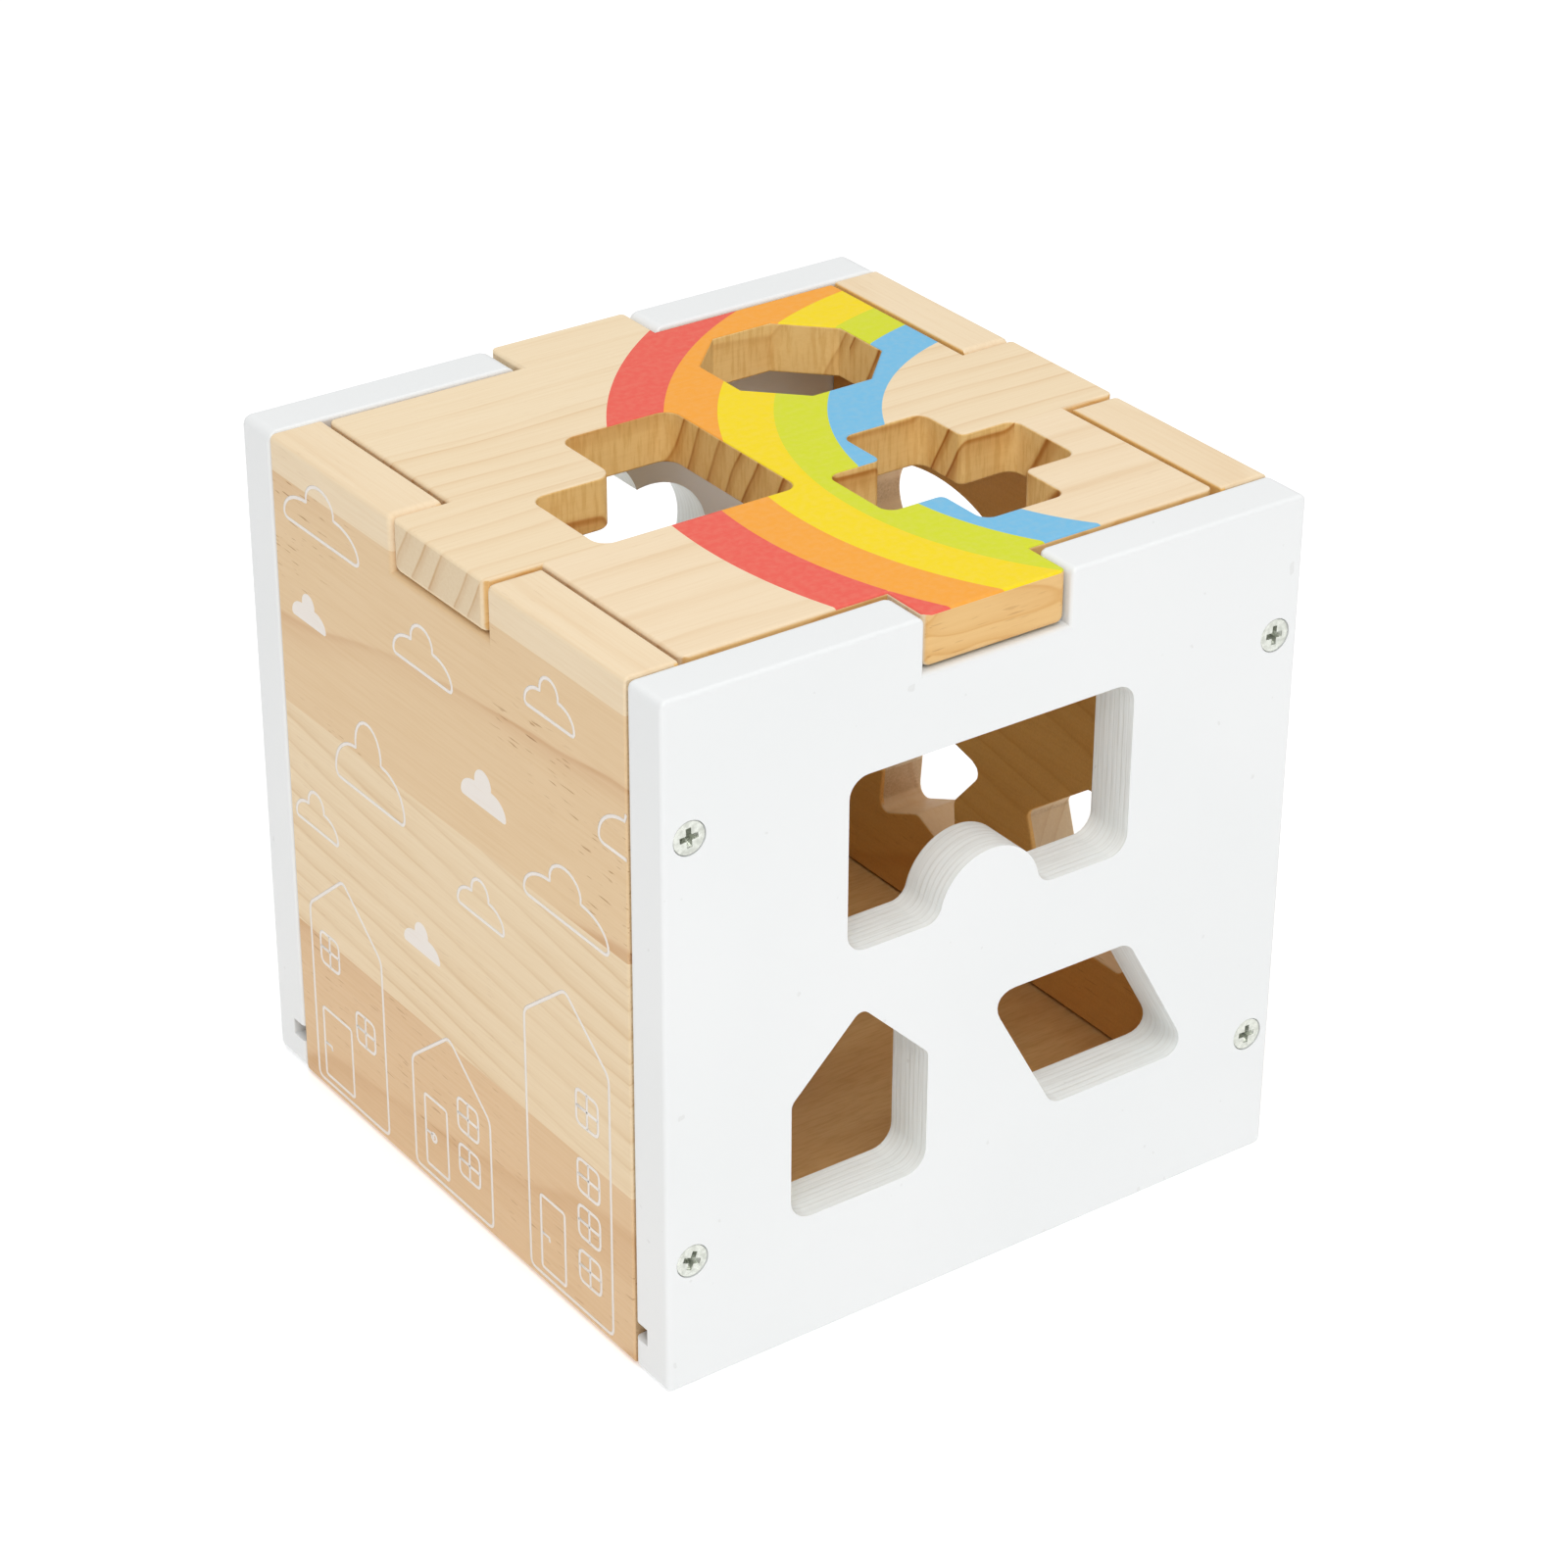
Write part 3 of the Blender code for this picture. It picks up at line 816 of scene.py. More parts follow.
    def banded(self, nodes: Nodes, count: Number) -> Number:
        """How dark the wood is, by a count of rings."""
        return nodes.parts(nodes.ramp(nodes.math("FRACT", count), RING_PROFILE, "EASE"))[0]

    def from_pith(self, nodes: Nodes, share: Number, along: Number, across: Number, deep: Number) -> Number:
        """How far a place lies from its strip's tree centre.

        Args:
            nodes: The material under construction.
            share: The place across the panel, 0 to 1.
            along: The place along the grain.
            across: The place across the strips.
            deep: The place through the board.

        Returns:
            The distance, in metres.
        """
        def packed(strip: Strip) -> RGB:
            """Where a strip's tree centre lies and how it leans, as a colour."""
            return strip.pith_across / PITH_REACH + 0.5, strip.pith_deep / PITH_REACH + 0.5, strip.tilt + 0.5

        pith = nodes.parts(self.row(nodes, share, packed))
        off_across = across - (pith[0] - 0.5) * PITH_REACH
        off_deep = deep - (pith[1] - 0.5) * PITH_REACH + along * (pith[2] - 0.5)
        return nodes.length(off_across, off_deep)

    def lacquered(self, nodes: Nodes, color: Number, relief: Number, fibre: Number, shine: float) -> Material:
        """Puts the lacquer on.

        Args:
            nodes: The material under construction.
            color: The wood's colour, with any print.
            relief: The height of its surface.
            fibre: The fibre noise.
            shine: How strongly it reflects.

        Returns:
            The material.
        """
        nodes.bump(relief, 0.22, 0.12 * MM)
        return nodes.done(color, fibre.smooth(0.2, 0.8, 0.45, 0.6), Specular_IOR_Level=shine)

    def make(self) -> Material:
        """Makes the plain lacquered wood."""
        nodes = Nodes(self.name)
        color, rings, fibre = self.look(nodes)
        return self.lacquered(nodes, color, fibre + rings * 0.4, fibre, 0.3)


@dataclass(frozen=True)
class RainbowPine:
    """The lid's pine with a rainbow printed on its top face.

    Attributes:
        wood: The pine under the print.
        center: The arcs' centre, in metres.
        radii: The bands' edges from the inside out, in metres.
        bands: The bands' colours from the inside out.
        top: The height of the printed face, in metres.
        sunk: How far the print reaches down the eased edges, in metres.
    """

    wood: Pine
    center: Spot
    radii: tuple[float, ...]
    bands: tuple[RGB, ...]
    top: float
    sunk: float = 0.45 * MM

    def make(self) -> Material:
        """Makes the printed wood."""
        nodes = Nodes("lid_pine_with_rainbow")
        color, rings, fibre = self.wood.look(nodes)
        away = nodes.length(nodes.place[0] - self.center[0], nodes.place[1] - self.center[1])
        limit = self.radii[-1] * 1.2
        starts = (0.0, *(radius / limit for radius in self.radii[:-1]))
        stops = list(zip(starts, (self.bands[0], *self.bands), strict=True))
        ink = nodes.ramp(away / limit, stops, "CONSTANT")
        ink = nodes.mix(nodes.noise(nodes.where, 700.0).smooth(0.35, 0.7, 0.0, 0.06), ink, color)
        printed = (away > self.radii[0]) * (away < self.radii[-1]) * (nodes.place[2] > self.top - self.sunk)
        printed = printed * (nodes.facing[2] > 0.5)
        covered = nodes.mix(printed * 0.97, color, ink)
        return self.wood.lacquered(nodes, covered, fibre + rings * 0.4 + printed * 0.5, fibre, 0.2)


@dataclass(frozen=True)
class WhitePly:
    """Plywood under white paint: smooth on the faces, with the plies showing on cut edges.

    Attributes:
        name: The material's name.
        paint: The paint on the faces.
        painted_wall_light: A lighter white on the walls of the openings, painted light against the shade they
            sit in.
        cut: The paint where it sank into the cut edge.
        ply: The thickness of one ply, in metres.
        reach: How far from the middle and from the ground the openings reach, in metres.
    """

    name: str
    paint: RGB = (0.835, 0.845, 0.845)
    painted_wall_light: RGB = (0.935, 0.97, 0.965)
    cut: RGB = (0.80, 0.82, 0.80)
    ply: float = 1.3 * MM
    reach: Spot = (60 * MM, 125 * MM)

    def make(self) -> Material:
        """Makes the painted plywood."""
        nodes = Nodes(self.name)
        x, y, z = nodes.place
        wall = abs(nodes.facing[1]).smooth(0.25, 0.7, 1.0, 0.0)
        wall = wall * (abs(x) < self.reach[0]) * (z < self.reach[1])
        lines = nodes.noise(nodes.join(x * 0.05, y, z * 0.05), 1500.0, 3.0, 0.6)
        ripple = nodes.noise(nodes.where, 60.0) * (0.5 * self.ply)
        layer = nodes.math("FRACT", (y + ripple) / self.ply)
        groove = abs(layer - 0.5).smooth(0.0, 0.22, 1.0, 0.0)
        etched = (wall * (groove * 0.45 + lines.smooth(0.4, 0.7, 0.0, 0.5))).clamped()
        cloud = nodes.noise(nodes.where, 14.0).smooth(0.3, 0.7)
        paint = nodes.tinted(cloud, self.paint, (0.975, 0.98, 0.98))
        # The walls of the openings take a lighter white than the faces: painted light against their shade.
        color = nodes.mix(etched, nodes.mix(wall, paint, self.painted_wall_light), self.cut)
        fleck = nodes.noise(nodes.where, 420.0, 1.0).smooth(0.785, 0.80, 0.0, 0.3)
        roller = nodes.noise(nodes.where, 900.0)
        nodes.bump(roller * 0.12 - etched, 0.35, 0.15 * MM)
        return nodes.done(nodes.mix(fleck, color, (0.62, 0.62, 0.60)), roller.smooth(0.3, 0.7, 0.42, 0.52))


@dataclass(frozen=True)
class BlockPaint:
    """Water-based paint on a wooden block, with the grain just showing through.

    Attributes:
        name: The material's name.
        color: The paint's colour.
        bare: The wood where the paint is rubbed.
    """

    name: str
    color: RGB
    bare: RGB = (0.85, 0.72, 0.52)

    def make(self) -> Material:
        """Makes the painted wood."""
        nodes = Nodes(self.name)
        x, y, z = nodes.place
        grain = nodes.noise(nodes.join(x * 0.05, y, z), 700.0, 3.0, 0.6)
        shade = nodes.tinted(grain.smooth(0.35, 0.75), self.color, (0.84, 0.8, 0.78))
        rub = nodes.noise(nodes.where, 160.0).smooth(0.68, 0.78, 0.0, 0.35)
        nodes.bump(grain, 0.25, 0.1 * MM)
        color = nodes.mix(rub, shade, nodes.mix(0.25, shade, self.bare))
        return nodes.done(color, grain.smooth(0.3, 0.8, 0.36, 0.5))


@dataclass(frozen=True)
class ThinPly:
    """Bare thin plywood with a calm rotary-cut face.

    Attributes:
        name: The material's name.
        pale: The pale wood.
        dark: The darker figure.
    """

    name: str
    pale: RGB
    dark: RGB

    def make(self) -> Material:
        """Makes the plywood."""
        nodes = Nodes(self.name)
        x, y, z = nodes.place
        long = nodes.join(x * 0.14, y, z)
        thread = nodes.noise(long, 1500.0)
        color = nodes.mix(nodes.noise(long, 70.0, 4.0, 0.6).smooth(0.35, 0.65), self.pale, self.dark)
        color = nodes.tinted(thread.smooth(0.4, 0.7, 0.0, 0.4), color, (0.8, 0.72, 0.62))
        nodes.bump(thread, 0.25, 0.1 * MM)
        return nodes.done(color, thread.smooth(0.3, 0.7, 0.5, 0.66))


@dataclass(frozen=True)
class Zinc:
    """Bright zinc plating with fine turning marks and a little dullness.

    Attributes:
        name: The material's name.
        color: The metal's colour.
    """

    name: str
    color: RGB

    def make(self) -> Material:
        """Makes the plated steel."""
        nodes = Nodes(self.name)
        dull = nodes.noise(nodes.where, 900.0, 3.0)
        color = nodes.tinted(dull.smooth(0.35, 0.7), self.color, (0.8, 0.8, 0.79))
        nodes.bump(nodes.noise(nodes.where, 5200.0), 0.2, 0.05 * MM)
        return nodes.done(color, dull.smooth(0.3, 0.7, 0.22, 0.42), Metallic=1.0)


@dataclass(frozen=True)
class PrintInk:
    """Thin screen-printed ink that lets some of the wood through.

    Attributes:
        name: The material's name.
        ink: The ink's colour.
        thin: The ink's colour where it is thin.
    """

    name: str
    ink: RGB
    thin: RGB

    def make(self) -> Material:
        """Makes the ink."""
        nodes = Nodes(self.name)
        x, y, z = nodes.place
        grain = nodes.noise(nodes.join(x, y * 0.08, z), 1300.0, 3.0, 0.6)
        nodes.bump(grain, 0.15, 0.05 * MM)
        color = nodes.mix(grain.smooth(0.5, 0.8, 0.0, 0.6), self.ink, self.thin)
        return nodes.done(color, grain.smooth(0.3, 0.7, 0.5, 0.6))


# --- Cut-outs and blocks -----------------------------------------------------------------------


@dataclass(frozen=True)
class Cutout:
    """An opening in a panel, and the block that goes through it.

    Attributes:
        name: The shape's name.
        at: Where its origin lies in the panel, in metres.
        corner: The radius of its outer corners, in metres.
    """

    name: str
    at: Spot
    corner: float

    def solid(self, thick: float) -> Piece:
        """Makes the opening's shape as a prism along Z, around its origin."""
        raise NotImplementedError

    def slab(self, low: Spot, high: Spot, thick: float) -> Piece:
        """Makes a rectangular prism along Z between two corners."""
        return block_of(self.name, (*low, -thick / 2), (*high, thick / 2))

    def cutter(self, plane: Plane, depth: float) -> Piece:
        """Makes the solid that cuts the opening.

        Args:
            plane: The way the panel faces.
            depth: The middle of the panel along its thickness, in metres.

        Returns:
            The cutter, in place.
        """
        places = {
            Plane.TOP: (*self.at, depth),
            Plane.FACE: (self.at[0], depth, self.at[1]),
            Plane.SIDE: (depth, *self.at),
        }
        return stand(self.solid(CUTTER_LONG), plane, places[plane])


@dataclass(frozen=True)
class LCutout(Cutout):
    """An L of two legs, in the lid."""

    span: Spot = (42.6 * MM, 41.5 * MM)
    step: Spot = (18.1 * MM, 18.3 * MM)
    nook: float = 3.5 * MM

    def solid(self, thick: float) -> Piece:
        """Makes the L from one corner cell and two extruded legs."""
        w, d = self.span[0] / 2, self.span[1] / 2
        side, rise = -w + self.step[0], d - self.step[1]
        piece = self.slab((side, -d), (w, rise), thick)
        extrude(piece, facing(0, -1), (-self.step[0], 0, 0))
        extrude(piece, lambda c, n: n.y > FACING and c.x > side, (0, self.step[1], 0))
        tidy_mesh(piece)
        inner = Vector((side, rise))
        round_uprights(piece, self.nook, lambda v: (v.xy - inner).length < CLOSE)
        round_uprights(piece, self.corner, lambda v: (v.xy - inner).length > 5 * MM)
        return piece


@dataclass(frozen=True)
class RegularCutout(Cutout):
    """A regular shape with straight sides."""

    sides: int = 8
    tip: float = 17.86 * MM
    turn: float = math.pi / 8

    def solid(self, thick: float) -> Piece:
        """Makes the shape from a drum with few sides."""
        piece = drum_of(self.name, self.tip, thick, self.sides, turn=self.turn)
        round_uprights(piece, self.corner, segments=4)
        return piece


@dataclass(frozen=True)
class PlusCutout(Cutout):
    """A plus with four equal arms."""

    span: float = 43.0 * MM
    arm: float = 18.5 * MM
    nook: float = 1.5 * MM

    def solid(self, thick: float) -> Piece:
        """Makes the plus by extruding four arms from a middle cell."""
        half = self.arm / 2
        piece = self.slab((-half, -half), (half, half), thick)
        grow_arms(piece, half, self.span / 2 - half)
        round_uprights(piece, self.nook, lambda v: max(abs(v.x), abs(v.y)) < half + MM, 4)
        round_uprights(piece, self.corner, lambda v: max(abs(v.x), abs(v.y)) > half + 5 * MM)
        return piece


@dataclass(frozen=True)
class BridgeCutout(Cutout):
    """A slab with an arch under it."""

    span: float = 63.0 * MM
    tall: float = 35.0 * MM
    arch: float = 11.2 * MM
    foot: float = 3.5 * MM

    def solid(self, thick: float) -> Piece:
        """Makes the slab, cuts the arch and flares its feet."""
        s, t = self.span / 2, self.tall / 2
        piece = self.slab((-s, -t), (s, t), thick)
        round_uprights(piece, self.corner)
        combine(piece, drum_of("arch", self.arch, 2 * thick, 96, (0, -t, 0)))
        reach = math.sqrt((self.arch + self.foot) ** 2 - self.foot**2)
        rise = self.foot * self.arch / (self.arch + self.foot)
        flare = block_of("flare", (-reach, -t - MM, -thick), (reach, rise - t, thick))
        for side in (-1, 1):
            combine(flare, drum_of("foot", self.foot, 3 * thick, 48, (side * reach, self.foot - t, 0)))
        combine(piece, flare)
        return tidy_mesh(piece)


@dataclass(frozen=True)
class HouseCutout(Cutout):
    """A house with a pitched roof, its origin in the middle of its foot."""

    span: float = 30.2 * MM
    eaves: float = 25.2 * MM
    apex: float = 40.0 * MM
    roof: float = 2.0 * MM

    def solid(self, thick: float) -> Piece:
        """Makes the walls, then extrudes the roof to a ridge."""
        s = self.span / 2
        piece = self.slab((-s, 0), (s, self.eaves), thick)
        extrude(piece, facing(1), (0, self.apex - self.eaves, 0))
        scale_faces(piece, facing(1), (0, 1, 1), (0, self.apex, 0))
        tidy_mesh(piece)
        round_uprights(piece, self.corner, lambda v: v.y < MM)
        round_uprights(piece, self.roof, lambda v: v.y > self.apex - MM, 5)
        round_uprights(piece, self.roof, lambda v: abs(v.y - self.eaves) < MM, 5)
        return piece


@dataclass(frozen=True)
class SlantCutout(Cutout):
    """A slanted block: a parallelogram that leans to the left."""

    span: float = 33.1 * MM
    tall: float = 29.1 * MM
    lean: float = 16.1 * MM

    def solid(self, thick: float) -> Piece:
        """Makes a slab and slides its top sideways."""
        s, t, lean = self.span / 2, self.tall / 2, self.lean / 2
        piece = self.slab((lean - s, -t), (lean + s, t), thick)
        select_faces(piece, facing(1))
        with Edit(piece, "FACE"):
            bpy.ops.transform.translate(value=(-2 * lean, 0, 0))
        tidy_mesh(piece)
        round_uprights(piece, self.corner, lambda v: v.x * v.y > 0)
        round_uprights(piece, self.corner, lambda v: v.x * v.y <= 0 and abs(v.x) > s)
        return piece


@dataclass(frozen=True)
class StarCutout(Cutout):
    """A plump star with five rounded tips."""

    tip: float = 22.6 * MM
    waist: float = 12.6 * MM
    nook: float = 2.0 * MM

    def solid(self, thick: float) -> Piece:
        """Makes a drum of ten sides and pulls every other corner in."""
        piece = drum_of(self.name, self.tip, thick, 10)
        clear_marks(piece.data)
        for vertex in piece.data.vertices:
            step = round((math.atan2(vertex.co.y, vertex.co.x) - math.pi / 2) / (math.pi / 5))
            vertex.select = step % 2 == 1
        share = self.waist / self.tip
        with Edit(piece, "VERT"):
            bpy.ops.transform.resize(value=(share, share, 1), center_override=(0, 0, 0))
        middle = (self.tip + self.waist) / 2
        round_uprights(piece, self.nook, lambda v: v.xy.length < middle, 5)
        round_uprights(piece, self.corner, lambda v: v.xy.length > middle)
        return piece


@dataclass(frozen=True)
class OvalCutout(Cutout):
    """An oval."""

    span: float = 50.6 * MM
    tall: float = 29.2 * MM

    def solid(self, thick: float) -> Piece:
        """Makes a round drum and presses it to an oval."""
        piece = drum_of(self.name, 1.0, thick, 96)
        piece.scale = (self.span / 2, self.tall / 2, 1)
        return settle(piece)


@dataclass(frozen=True)
class CloudCutout(Cutout):
    """A cloud of three lobes on a flat base, its origin on the base.

    Attributes:
        middle: The middle lobe's place across and up, and its radius, in metres.
        right: The right lobe's.
        left: The left lobe's.
    """

    middle: tuple[float, float, float] = (-1.5 * MM, 22.0 * MM, 15.0 * MM)
    right: tuple[float, float, float] = (16.0 * MM, 13.5 * MM, 13.5 * MM)
    left: tuple[float, float, float] = (-17.5 * MM, 12.0 * MM, 12.0 * MM)

    def solid(self, thick: float) -> Piece:
        """Joins three drums and a slab, and softens the nooks between them."""
        piece, *others = (
            drum_of(self.name, r, thick, 72, (x, y, 0)) for x, y, r in (self.middle, self.right, self.left)
        )
        others.append(self.slab((self.left[0], 0), (self.right[0], self.middle[1]), thick))
        for other in others:
            combine(piece, other, "UNION")
        tidy_mesh(piece)
        bevel(piece, lambda a, b, turn: upright(a, b) and turn > 0.35 and a.y > 5 * MM, self.corner, 5)
        return piece


@dataclass
class Block(Assembly):
    """A painted block, made from its opening with a fit all round.

    Attributes:
        shape: The opening that it goes through.
        plane: The way its broad face looks where it rests.
        slot: A name for its material slot.
        paint: Its finish.
        thick: Its thickness, in metres.
        fit: How much smaller than its opening it is all round, in metres.
        soft: How far its edges are eased, in metres.
    """

    shape: Cutout
    plane: Plane
    slot: str
    paint: BlockPaint
    thick: float = 20.0 * MM
    fit: float = 1.0 * MM
    soft: float = 1.0 * MM

    def build(self) -> Piece:
        """Makes the block where its CAD node is and gives it back."""
        piece = tidy_mesh(self.shape.solid(self.thick + 2 * self.fit))
        with Edit(piece, "FACE"):
            bpy.ops.mesh.select_all(action="SELECT")
            bpy.ops.transform.shrink_fatten(value=-self.fit, use_even_offset=True)
        rim = self.thick / 2 - 0.05 * MM
        bevel(piece, lambda a, b, turn: min(abs(a.z), abs(b.z)) > rim and turn > SHARP, self.soft, 4)
        node = f"block_{self.shape.name}"
        piece.name = piece.data.name = f"painted_{node}"
        stand(piece, self.plane, (0, 0, 0))
        low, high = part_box(node)
        piece.location = (low + high) / 2 - (Vector(piece.bound_box[0]) + Vector(piece.bound_box[6])) / 2
        settle(piece)
        return self.dress(piece, self.paint.make(), node, self.slot, node, angle=40)


# --- The box -----------------------------------------------------------------------------------


@dataclass
class Panel(Assembly):
    """What the four panels share: a board with a notch, cut-outs, a groove and seats for screws.

    Attributes:
        node: The CAD node.
        name: The finished piece's name.
        cutouts: The openings through it.
        notch: Half the notch's width, in metres.
        notch_deep: How far the notch goes down, in metres.
        groove: The groove's bottom and height, in metres.
        groove_deep: How deep the groove is, in metres.
        play: How much higher the groove is than the bottom board, in metres.
        rim: How far the cut-outs' rims are eased, in metres.
        border: How far its sides, and its foot and top, are from any rim, in metres.
    """

    AXIS: ClassVar[int]
    PLANE: ClassVar[Plane]
    SLOT: ClassVar[str]
    SEGMENTS: ClassVar[int]

    node: str
    name: str
    cutouts: tuple[Cutout, ...] = ()
    notch: float = 16.0 * MM
    notch_deep: float = 10.9 * MM
    groove: Spot = (6.7 * MM, 3.6 * MM)
    groove_deep: float = 4.0 * MM
    play: float = 0.0
    rim: float = 0.45 * MM
    border: Spot = (6 * MM, 14 * MM)

    def board(self) -> tuple[Vector, Vector]:
        """The board's lowest and highest corners."""
        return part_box(self.node)

    def rules(self, low: Vector, high: Vector, floor: float) -> list[tuple[EdgeTest, float]]:
        """How each group of outer edges is rounded, given the board's corners and the notch's floor."""
        raise NotImplementedError

    def cut(self, piece: Piece, through: Spot, wide: Spot, tall: Spot) -> None:
        """Cuts a box out of the board.

        Args:
            piece: The board.
            through: The box's limits through the board, in metres.
            wide: Its limits across the board.
            tall: Its limits along Z.
        """
        flat = (wide, through) if self.AXIS else (through, wide)
        combine(piece, block_of("cut", *zip(*flat, tall, strict=True)))

    def build(self, material: Material, seats: Sequence[Piece] = ()) -> Piece:
        """Makes the panel.

        Args:
            material: Its finish.
            seats: The solids that cut its screws' seats.

        Returns:
            The finished panel.
        """
        low, high = self.board()
        axis, other = self.AXIS, 1 - self.AXIS
        piece = block_of(self.name, low, high)
        floor = high.z - self.notch_deep
        self.cut(piece, (low[axis] - MM, high[axis] + MM), (-self.notch, self.notch), (floor, high.z + MM))
        tidy_mesh(piece)
        bevel_by_width(piece, self.rules(low, high, floor), self.SEGMENTS)
        for cutout in self.cutouts:
            combine(piece, cutout.cutter(self.PLANE, (low[axis] + high[axis]) / 2))
        inner = min(low[axis], high[axis], key=abs)
        way = math.copysign(1, inner)
        ends = sorted((inner - way * MM, inner + way * self.groove_deep))
        bottom, tall = self.groove
        self.cut(piece, ends, (low[other] - MM, high[other] + MM), (bottom, bottom + tall + self.play))
        for seat in seats:
            combine(piece, seat)
        side, foot = self.border

        def inside(end: Vector) -> bool:
            """Whether a point is clear of the board's outline."""
            clear = low[other] + side < end[other] < high[other] - side
            return clear and low.z + foot < end.z < high.z - foot

        ease_rims(piece, axis, (low[axis], high[axis]), inside, self.rim)
        return self.dress(piece, material, "box", self.SLOT, self.node)


@dataclass
class WhitePanel(Panel):
    """A painted plywood panel, front or back.

    Attributes:
        round_back: How far the edges on its rear side are rounded, in metres.
        round_front: How far the edges on its front side are eased, in metres.
        round_notch: How far the notch's sides are rounded on the rear, in metres.
        corner: How far its corners are rounded, in metres.
    """

    AXIS, PLANE, SLOT, SEGMENTS = 1, Plane.FACE, "white_ply", 5

    round_back: float = 1.3 * MM
    round_front: float = 0.9 * MM
    round_notch: float = 2.5 * MM
    corner: float = 1.5 * MM

    def rules(self, low: Vector, high: Vector, floor: float) -> list[tuple[EdgeTest, float]]:
        """How each group of outer edges is rounded."""
        rear, notch_sides = on_plane(1, high.y), along(2, (0, 0.0, NEAR_MIDDLE))
        return [
            (lambda a, b, turn: rear(a, b, turn) and notch_sides(a, b, turn), self.round_notch),
            (rear, self.round_back),
            (on_plane(1, low.y), self.round_front),
            (along(1, (2, floor + MM, FAR)), self.corner),
            (along(1, (2, 0.0, MM)), self.corner),
        ]


@dataclass
class PinePanel(Panel):
    """A glued-up pine panel, left or right.

    Attributes:
        ease: How far its outer edges are rounded, in metres.
        ease_in: How far its inner edges are rounded, in metres.
        ease_end: How far its upright ends are rounded, in metres.
        ease_foot: How far its corners at the white panels are rounded, in metres.
        corner: How far the notch's upper corners are rounded, in metres.
        proud: How far its printed face lies under the ink's surface, in metres.
    """

    AXIS, PLANE, SLOT, SEGMENTS = 0, Plane.SIDE, "pine", 4

    play: float = 0.45 * MM
    ease: float = 1.4 * MM
    ease_in: float = 0.6 * MM
    ease_end: float = 0.5 * MM
    ease_foot: float = 0.8 * MM
    corner: float = 1.9 * MM
    proud: float = 0.035 * MM

    def board(self) -> tuple[Vector, Vector]:
        """The board's corners, with the left panel's printed face set back."""
        low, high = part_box(self.node)
        low.x += self.proud if low.x < 0 else 0.0
        return low, high

    def rules(self, low: Vector, high: Vector, floor: float) -> list[tuple[EdgeTest, float]]:
        """How each group of outer edges is rounded."""
        inner, outer = sorted((low.x, high.x), key=abs)
        at_ends = (1, NEAR_CORNER, FAR)
        return [
            (along(2, at_ends), self.ease_end),
            (on_plane(0, outer), self.ease),
            (on_plane(0, inner), self.ease_in),
            (along(0, (2, floor + MM, FAR), (1, 0.0, NEAR_MIDDLE)), self.corner),
            (along(0, at_ends), self.ease_foot),
        ]


@dataclass
class BottomBoard(Assembly):
    """The thin board in the grooves."""

    node: str = "bottom_board"
    ease: float = 0.25 * MM

    def build(self, material: Material) -> Piece:
        """Makes the board in its finish and gives it back."""
        piece = block_of("thin_bottom_board", *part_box(self.node))
        bevel(piece, lambda a, b, turn: turn > STEEP, self.ease, 2)
        return self.dress(piece, material, "box", "thin_ply", self.node)


@dataclass
class Lid(Assembly):
    """The lift-off lid: a square with a tab in the middle of each side.

    Attributes:
        cutouts: The openings through it.
        body: The square's half widths along X and Y, in metres.
        tab: Half the tabs' width, in metres.
        ease: How far its top edges are rounded, in metres.
        under: How far its bottom edges are rounded, in metres.
        corner: How far its outer corners are rounded, in metres.
        rim: How far the openings' rims are eased, in metres.
        border: How far from the middle the openings reach at most, in metres.
        shy: How far the front tab stays behind the front panel's face, in metres.
    """

    cutouts: tuple[Cutout, ...]
    body: Spot = (58.0 * MM, 58.5 * MM)
    tab: float = 15.5 * MM
    ease: float = 0.8 * MM
    under: float = 1.7 * MM
    corner: float = 1.8 * MM
    rim: float = 0.5 * MM
    border: float = 54 * MM
    shy: float = 0.7 * MM

    def grow_tabs(self, piece: Piece, high: Vector) -> None:
        """Extrudes the four tabs from the square.

        Args:
            piece: The square.
            high: The lid's highest corner, in metres.
        """
        ways = (Vector((1, 0, 0)), Vector((0, 1, 0)))
        for way in ways:
            for place in (-self.tab, self.tab):
                select_faces(piece, lambda c, n: True)
                with Edit(piece, "FACE"):
                    bpy.ops.mesh.bisect(plane_co=way * place, plane_no=way)
        for axis, (way, side) in enumerate((ways, ways[::-1])):
            for sign in (-1, 1):
                reach = high[axis] - self.body[axis] - (self.shy if axis and sign < 0 else 0.0)
                out = way * sign
                extrude(piece, lambda c, n: n.dot(out) > FACING and abs(c.dot(side)) < self.tab, out * reach)
        tidy_mesh(piece)

    def build(self, material: Material) -> Piece:
        """Makes the lid in its finish and gives it back."""
        low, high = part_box("lid")
        x, y = self.body
        piece = block_of("rainbow_lid", (-x, -y, low.z), (x, y, high.z))
        self.grow_tabs(piece, high)
        shoulder = (NEAR_CORNER, NEAR_SIDE)
        rules = [
            (on_plane(2, low.z), self.under),
            (on_plane(2, high.z), self.ease),
            (along(2, (0, NEAR_SIDE, FAR)), self.corner),
            (along(2, (1, NEAR_SIDE, FAR)), self.corner),
            (along(2, (0, *shoulder), (1, *shoulder)), self.corner),
        ]
        bevel_by_width(piece, rules)
        for cutout in self.cutouts:
            combine(piece, cutout.cutter(Plane.TOP, (low.z + high.z) / 2))
        ease_rims(piece, 2, (low.z, high.z), lambda v: max(abs(v.x), abs(v.y)) < self.border, self.rim)
        return self.dress(piece, material, "lid", "lid_pine", "lid")


